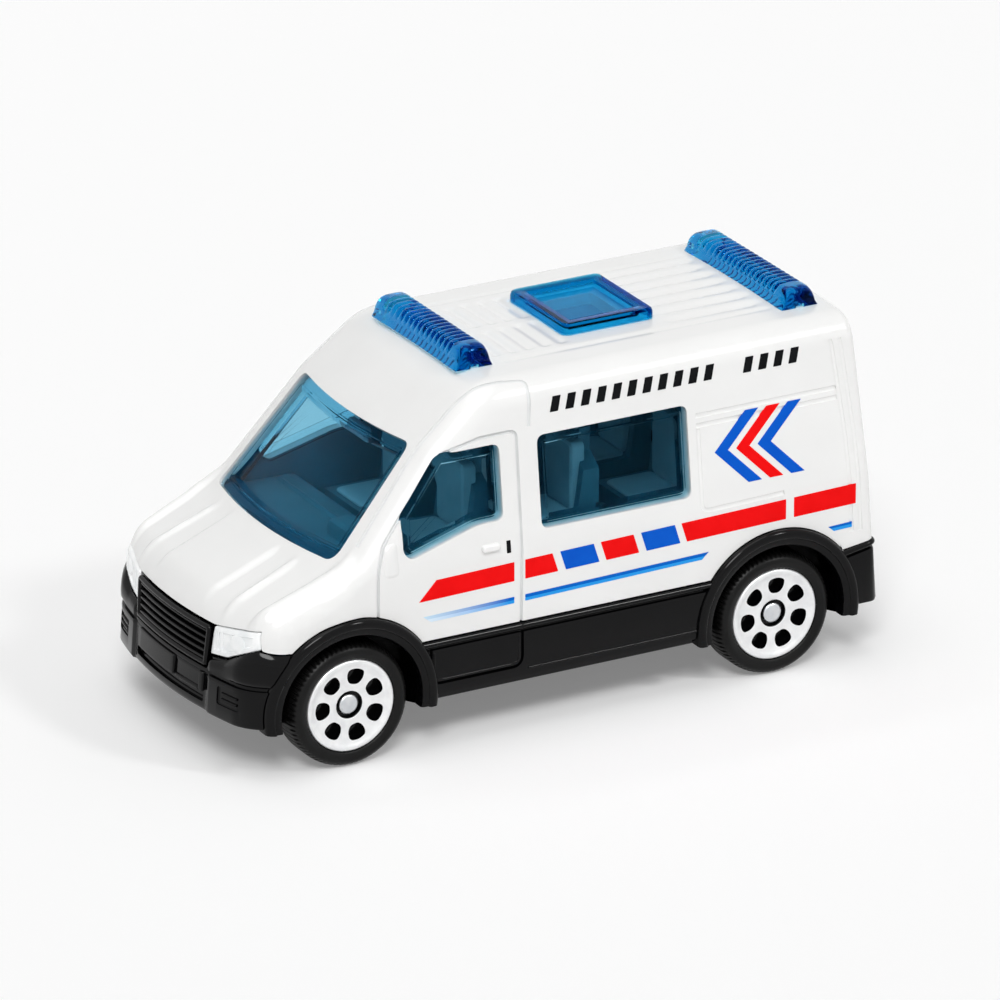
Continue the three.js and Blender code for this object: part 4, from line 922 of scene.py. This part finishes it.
def grille():
    """Grille: a frame bent along the nose, five thick curved bars, a dark back, and the blank plate below."""
    outline = [(-7.2, 9.9), (7.2, 9.9), (7.5, 14.15), (-7.5, 14.15)]
    grids = [plate(outline, 0.4, [(0.0, -1.1), (0.0, -0.75), (0.2, -0.65)], on_front)]
    loop = rounded(outline, 0.5, True, 0.3)
    grids.append(tube(on_front(loop[:, 0], loop[:, 1], 0.0), 0.34, 0.3, True))
    y = np.linspace(-7.0, 7.0, 60)
    grids += [tube(on_front(y, height, -0.22), 0.42, 0.24) for height in np.linspace(10.65, 13.45, 5)]
    badge = [(0.0, -0.5), (0.0, 0.24), (0.06, 0.34), (0.2, 0.36)]
    grids += [plate(rectangle(*ends, 7.3, 9.3), 0.2, badge, on_front) for ends in ((-6.0, 1.8), (6.3, 7.0))]
    ledge = [(0.0, -0.5), (0.0, 0.16), (0.06, 0.24), (0.12, 0.26)]
    grids.append(plate(rectangle(2.0, 6.2, 7.2, 7.6), 0.15, ledge, on_front))
    for hand in (1, -1):
        y = hand * np.linspace(9.8, 12.0, 12)
        grids += [tube(on_front(y, height, 0.14), 0.14, 0.12) for height in (7.45, 8.05)]
    made("grille", grids, [BLACK], (), 40)


def headlamp(name, hand, node):
    """A headlamp: a bright bevelled block with a sunk reflector panel and a small round lens."""
    outline = LAMP_OUTLINE if hand > 0 else mirrored(LAMP_OUTLINE)
    profile = [(0.12, -1.2), (0.12, -0.12), (0.2, 0.02), (0.35, 0.08), (0.6, 0.08), (0.7, -0.06), (0.8, -0.1)]
    grids = [plate(outline, 0.35, profile, on_front, spacing=0.5)]
    turn = full_turn(8)
    lens = list(zip(hand * 11.3 + 1.05 * np.cos(turn), 13.5 + 1.05 * np.sin(turn)))
    dome = [(0.0, -0.4), (0.0, -0.02), (0.12, 0.08), (0.5, 0.14)]
    grids.append(plate(lens, 0.5, dome, on_front, spacing=0.4))
    for y, low, high in ((8.5, 11.9, 13.9), (9.1, 12.0, 14.0)):
        grids.append(tube(on_front(hand * y, np.linspace(low, high, 12), -0.08), 0.16, 0.13))
    made(name, grids, [LAMP], [node])


# Cabin
def interior():
    """Seats and floor: the moulding's solid, merged and with its edges rounded."""
    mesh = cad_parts["interior_tub"].data.copy()
    work = bmesh.new()
    work.from_mesh(mesh)
    bmesh.ops.remove_doubles(work, verts=work.verts, dist=1e-6)
    flat = math.radians(2)
    bmesh.ops.dissolve_limit(work, angle_limit=flat, verts=work.verts, edges=work.edges)
    work.to_mesh(mesh)
    work.free()
    mesh.materials.clear()
    piece = object_of("seat_moulding", mesh, [DARK_GREY])
    modifier = piece.modifiers.new("edges", "BEVEL")
    modifier.width = 0.35 * MM
    modifier.segments = 3
    modifier.limit_method = "ANGLE"
    modifier.angle_limit = math.radians(35)
    settle(piece, modifier)
    dressed(piece, ["interior_tub"])


def cabin_trim():
    """Dashboard shelf, instrument hood, steering wheel, mirror, cushions and the tray under the hatch."""
    shelf = [(0.0, 16.4), (0.0, 18.9), (0.2, 19.2), (0.6, 19.3)]
    grids = [plate(rectangle(14.6, 23.4, -12.2, 12.2), 1.0, shelf, in_plan, 1)]
    tray = [(0.0, 33.6), (0.0, 34.5), (0.1, 34.6)]
    grids.append(plate(rectangle(-14.6, -6.4, -4.6, 4.6), 0.5, tray, in_plan))
    hood = [(0.0, 19.0), (0.1, 20.2), (0.3, 20.6), (0.8, 20.8)]
    grids.append(plate(rectangle(16.2, 19.4, 3.0, 8.6), 0.9, hood, in_plan, 1))
    turn = full_turn(40)
    across, up = 2.1 * np.cos(turn), 2.1 * np.sin(turn)
    ring = points_of(14.4 - 0.5 * up, 5.6 + across, 20.0 + 0.85 * up)
    away = np.array([[0.86, 0.0, 0.5]]) + 0 * ring
    grids.append(tube(ring, 0.26, 0.26, True, 1, away))

    def soft(start, scale=1.0):
        """Profile of a soft block that starts at a place and goes on by 1.25 mm times the scale."""
        rows = [(0.3, 0.0), (0.05, 0.12), (0.0, 0.3), (0.0, 0.9), (0.05, 1.1), (0.3, 1.25)]
        return [(inset, start + scale * depth) for inset, depth in rows]

    grids.append(plate(rectangle(-1.9, 1.9, 26.9, 28.3), 0.5, soft(13.3, 0.6), flat_front))
    for front in (7.0, -5.0, -17.0):
        for y in (5.4, -5.4):
            rest = rectangle(y - 1.7, y + 1.7, 26.3, 28.6)
            grids.append(plate(rest, 0.7, soft(front - 2.0), flat_front))
            back = rectangle(y - 2.7, y + 2.7, 18.4, 25.6)
            grids.append(plate(back, 0.8, soft(front - 1.4, 1.3), flat_front))
            seat = rectangle(front, front + 5.4, y - 2.8, y + 2.8)
            grids.append(plate(seat, 0.8, soft(17.4), in_plan))
    made("cabin_trim", grids, [GREY, DARK_GREY])


# Wheels
WHEEL_HOLES = 7
RIM_SIDES = 180
TYRE_SIDES = 576
TYRE_RIBS = 72
AXLE_SIDES = 48


def turned(profile, sides):
    """Profile of (radius, outward) points turned round the cross axis: a grid with rows along the profile."""
    turn = full_turn(sides)
    profile = np.array(profile, float)
    radius, out = profile[:, :1], profile[:, 1:]
    return points_of(radius * np.cos(turn), out, radius * np.sin(turn))


def tyre_grid():
    """Tyre: smooth bulged sidewalls with a bead step, and fine ribs across the tread up to its shoulder."""
    outer, inner = TYRE_OUTER_Y - WHEEL_FACE, TYRE_INNER_Y - WHEEL_FACE
    middle, reach, seat, tread = (outer + inner) / 2, (outer - inner) / 2, 4.74, AXLE_Z
    front = [(seat, -0.3), (seat + 0.04, -0.1), (seat + 0.16, 0.0), (seat + 0.4, 0.06)]
    front += [(seat + 0.6, outer - 0.02), (5.5, outer), (5.68, outer - 0.03), (5.85, outer - 0.12)]
    front += [(6.0, outer - 0.26), (6.12, outer - 0.42), (6.2, outer - 0.6), (6.26, outer - 0.8)]
    front += [(6.295, outer - 1.0), (tread, outer - 1.3), (tread, middle)]
    rear = [(radius, outer + inner - out) for radius, out in reversed(front[:-1])]
    profile = np.array(front + rear)
    grid = turned(profile, TYRE_SIDES)
    turn = full_turn(TYRE_SIDES)
    away = np.abs(profile[:, 1] - middle)[:, None]
    share = between(away, reach - 1.5, reach - 1.1, reach - 0.5, reach - 0.25)
    grid[..., [0, 2]] *= (1 - 0.022 * share * smooth(np.sin(turn * TYRE_RIBS), 0.0, 0.6))[..., None]
    return grid, True, True, 0


def wheel_hole(angle):
    """A wheel hole to cut away: round towards the hub, wide and flat outside, with a soft edge."""
    corners = [(2.2, -0.42), (2.75, -0.8), (3.5, -0.82), (3.74, 0.0), (3.5, 0.82), (2.75, 0.8), (2.2, 0.42)]
    profile = [(0.0, -1.25), (0.0, -0.62), (-0.02, -0.5), (-0.08, -0.4), (-0.12, 0.4)]
    cosine, sine = math.cos(angle), math.sin(angle)

    def place(u, v, level):
        return points_of(u * cosine - v * sine, level, u * sine + v * cosine)

    return plate(corners, 0.6, profile, place, 1, 0.3)


def rim_mesh(angle):
    """Wheel: a dished disc with a rolled lip, a hub ring and soft-edged holes that are dark inside."""
    back = WHEEL_BACK - WHEEL_FACE
    plated = [
        (1.42, -0.4), (1.6, -0.37), (2.2, -0.36), (3.4, -0.26), (3.95, -0.17), (4.1, -0.1),
        (4.2, -0.04), (4.45, 0.0), (4.6, -0.04), (4.68, -0.15), (4.7, -0.3), (4.7, -2.6),
    ]
    bare = [(4.7, -2.6), (4.1, -2.6), (4.1, -1.5), (2.0, -2.05), (2.0, back), (0.85, back)]
    bare += [(0.85, -0.8), (1.3, -0.8), (1.33, -0.6), (1.36, -0.46), (1.42, -0.4)]
    grids = [(turned(rows, RIM_SIDES), False, True, number) for number, rows in enumerate((plated, bare))]
    piece = object_of("rim_blank", mesh_of("rim_blank", grids), [SILVER, BLACK])
    cut(piece, [wheel_hole(angle + 2 * math.pi * i / WHEEL_HOLES) for i in range(WHEEL_HOLES)])
    mesh = piece.data
    bpy.data.objects.remove(piece)
    return mesh


def placed(mesh, name, axle_x, hand):
    """A wheel piece, made with its face at y = 0 looking outwards, as an object at its place on the van."""
    copy = mesh.copy()
    copy.name = name
    turn = Matrix.Rotation(0 if hand > 0 else math.pi, 4, "Z")
    out = Matrix.Translation((0, WHEEL_FACE * MM, 0))
    copy.transform(Matrix.Translation((axle_x * MM, 0, AXLE_Z * MM)) @ turn @ out)
    return object_of(name, copy)


def wheels():
    """Four tyres and rims, and the two axles with domed heads."""
    tyre = mesh_of("tyre_blank", [tyre_grid()])
    tyre.materials.append(RUBBER)
    tip, seat = WHEEL_FACE - 0.28, WHEEL_FACE - 0.7
    half = [(0.0, tip), (0.5, tip - 0.03), (0.8, tip - 0.08), (0.98, tip - 0.18), (1.05, tip - 0.32)]
    half += [(1.05, seat), (0.75, seat)]
    axle_profile = half + [(radius, -out) for radius, out in reversed(half)]
    for end, axle_x, angle in (("front", FRONT_AXLE_X, 102), ("rear", REAR_AXLE_X, 95)):
        for hand, side, first_hole in ((1, "left", angle), (-1, "right", 180 - angle)):
            body = f"{end}_{side}_wheel_body"
            piece = placed(tyre, f"{end}_{side}_tyre_rubber", axle_x, hand)
            dressed(piece, [f"{end}_{side}_tyre"], 50, body)
            piece = placed(rim_mesh(math.radians(first_hole)), f"{end}_{side}_rim", axle_x, hand)
            dressed(piece, [f"{end}_{side}_wheel"], 40, body)
        grid = turned(axle_profile, AXLE_SIDES) + points_of(axle_x, 0, AXLE_Z)
        grids, body = [(grid, False, True, 0)], f"{end}_axle_body"
        made(f"{end}_axle_wire", grids, [STEEL], [f"{end}_axle"], 40, body)


# Prints
INK = [(0.0, -0.06), (0.0, 0.025)]
SLANT = -0.64
BOTH_SIDES = (on_side(1), on_side(-1))


def printed(name, outlines, material, places=BOTH_SIDES, radius=0.06):
    """Printed shapes on the van, as thin films of ink on the enamel."""
    grids = [plate(outline, radius, INK, place, spacing=1.2) for outline in outlines for place in places]
    made(name, grids, [material])


def stripes():
    """Wide red and blue stripe blocks with slanted ends, rising to the rear, and thin blue lines below."""

    def block(front, rear, front_slant=SLANT, rear_slant=SLANT):
        low = [(x, 16.0 - 0.0163 * x) for x in (rear + rear_slant, front + front_slant)]
        return low + [(x, 17.99 - 0.0193 * x) for x in (front, rear)]

    red = [block(13.97, 5.45, 1.9, 0.0), block(4.25, 1.26, 0.0), block(-4.08, -7.71)]
    red += [block(-13.05, -24.8, SLANT, 0.0), block(-25.7, -32.7, 0.0, 0.0)]
    printed("red_stripes", red, RED_INK)
    printed("blue_stripes", [block(0.4, -3.3), block(-8.55, -12.31)], BLUE_INK)
    upper = [[(5.45, 13.95), (15.0, 13.82), (15.4, 14.14), (5.45, 14.28)]]
    upper.append([(-15.75, 14.32), (4.25, 13.96), (4.25, 14.3), (-16.15, 14.66)])
    upper.append([(-32.3, 14.42), (-29.9, 14.37), (-29.6, 14.6), (-32.3, 14.68)])
    lower = [[(5.45, 13.62), (14.6, 13.5), (15.0, 13.82), (5.45, 13.95)]]
    lower.append([(-15.4, 13.98), (4.25, 13.63), (4.25, 13.96), (-15.75, 14.32)])
    lower.append([(-32.3, 14.1), (-30.25, 14.05), (-29.9, 14.37), (-32.3, 14.42)])
    printed("thin_blue_lines", upper, THIN_BLUE)
    printed("pale_blue_lines", lower, PALE_BLUE)


def marks():
    """Slanted dashes above the side window, chevrons on the rear panel, key marks and red tail lamps."""
    dashes = []
    for x in [*np.linspace(0.6, -16.4, 11), *np.linspace(-20.8, -25.9, 4)]:
        dashes.append([(x - 0.8, 31.9), (x + 0.1, 31.9), (x - 0.3, 33.4), (x - 1.2, 33.4)])
    printed("dark_dashes", dashes, DARK_INK)

    def chevron(x, tip=24.6, size=3.6, thick=1.5):
        upper = [(x, tip), (x + thick, tip), (x + thick - size, tip + size), (x - size, tip + size)]
        lower = [(x - size, tip - size), (x + thick - size, tip - size), (x + thick, tip), (x, tip)]
        return [upper, lower]

    printed("blue_chevrons", chevron(-23.4) + chevron(-18.6), BLUE_INK)
    printed("red_chevrons", chevron(-21.0), RED_INK)
    printed("key_marks", [rectangle(5.8, 6.25, 18.95, 20.2)], DARK_INK)
    lamp = rectangle(12.0, 13.2, 14.2, 19.2)
    printed("tail_lamps", [lamp, mirrored(lamp)], RED_INK, [on_rear], 0.3)


# Stage
FLOOR_REACH = 4000
FLOOR_WHITE = 0.2
ROOM_LIGHT = 0.26
SUNS = [
    ("key", 1.42, 20, (0.36, 0.58, 0.73)),
    ("edge", 0.55, 8, (-0.448, 0.588, 0.673)),
    ("top", 0.7, 40, (0.1, 0.1, 0.99)),
]


def seen_plain(tree):
    """1 for rays that come straight, by a reflection or through glass, and 0 for the light that shades."""
    path = add(tree, "ShaderNodeLightPath").outputs
    seen = path["Is Camera Ray"]
    for kind in ("Is Glossy Ray", "Is Transmission Ray"):
        links = {0: seen, 1: path[kind]}
        seen = add(tree, "ShaderNodeMath", {"operation": "MAXIMUM"}, links).outputs["Value"]
    return seen


def aimed(data, place, back):
    """A light or a camera as an object at its place, turned to look away from the direction back."""
    item = bpy.data.objects.new(data.name, data)
    item.location = place
    item.rotation_euler = (-Vector(back)).to_track_quat("-Z", "Y").to_euler()
    bpy.context.scene.collection.objects.link(item)
    return item


def stage():
    """White floor that keeps the shadow, soft even light, and the camera at the photograph's view."""
    scene = bpy.context.scene
    scene.view_settings.view_transform = "Standard"
    ends = [-FLOOR_REACH, FLOOR_REACH]
    settings = {"Base Color": linear("#fdfdfd"), "Roughness": 0.9, "Specular IOR Level": 0.0}
    material, tree, shader, _ = blank_material("studio_paper", settings)
    glow = add(tree, "ShaderNodeEmission", {"Color": linear("#ffffff"), "Strength": 1.0})
    share = add(tree, "ShaderNodeMath", {"operation": "MULTIPLY", 1: FLOOR_WHITE}, {0: seen_plain(tree)})
    links = {"Fac": share.outputs["Value"], 1: shader.outputs["BSDF"], 2: glow.outputs["Emission"]}
    mixed = add(tree, "ShaderNodeMixShader", None, links)
    tree.links.new(mixed.outputs["Shader"], tree.nodes["Material Output"].inputs["Surface"])
    paper = [(points_of(*np.meshgrid(ends, ends), 0), False, False, 0)]
    floor = object_of("floor", mesh_of("floor", paper), [material])

    scene.world = bpy.data.worlds.new("studio")
    scene.world.use_nodes = True
    tree = scene.world.node_tree
    tree.nodes.clear()
    levels = {"To Min": ROOM_LIGHT, "To Max": 1.0}
    strength = add(tree, "ShaderNodeMapRange", levels, {"Value": seen_plain(tree)}).outputs["Result"]
    glow = add(tree, "ShaderNodeBackground", {"Color": linear("#ffffff")}, {"Strength": strength})
    add(tree, "ShaderNodeOutputWorld", None, {"Surface": glow.outputs["Background"]})

    for name, energy, width, place in SUNS:
        sun = bpy.data.lights.new(name, "SUN")
        sun.energy = energy
        sun.angle = math.radians(width)
        aimed(sun, place, place)
    strip = bpy.data.lights.new("hood_strip", "AREA")
    strip.shape = "RECTANGLE"
    strip.size = 0.36
    strip.size_y = 0.04
    strip.energy = 0.25
    place = (0.05, -0.33, 0.68)
    aimed(strip, place, place)

    target = Vector((-1.48, 0.0, 17.49)) * MM
    bearing, elevation, distance = 0.504423, 0.385474, 991.1 * MM
    level = math.cos(elevation)
    back = Vector((math.sin(bearing) * level, math.cos(bearing) * level, math.sin(elevation)))
    camera = bpy.data.cameras.new("camera")
    camera.sensor_width = 36.0
    camera.lens = 365.53
    camera.clip_end = 50
    scene.camera = aimed(camera, target + back * distance, back)


body_shell()
door_handles()
window_unit()
light_bar("front_light_bar", "front_lightbar", 0.15)
light_bar("rear_light_bar", "rear_lightbar", 0.45)
roof_hatch()
chassis_base()
front_bumper()
grille()
headlamp("left_headlamp", 1, "headlamp_left")
headlamp("right_headlamp", -1, "headlamp_right")
interior()
cabin_trim()
wheels()
stripes()
marks()
for screw in ("base_screw_front", "base_screw_rear"):
    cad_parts[screw].data.materials.clear()
    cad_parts[screw].data.materials.append(STEEL)
stage()
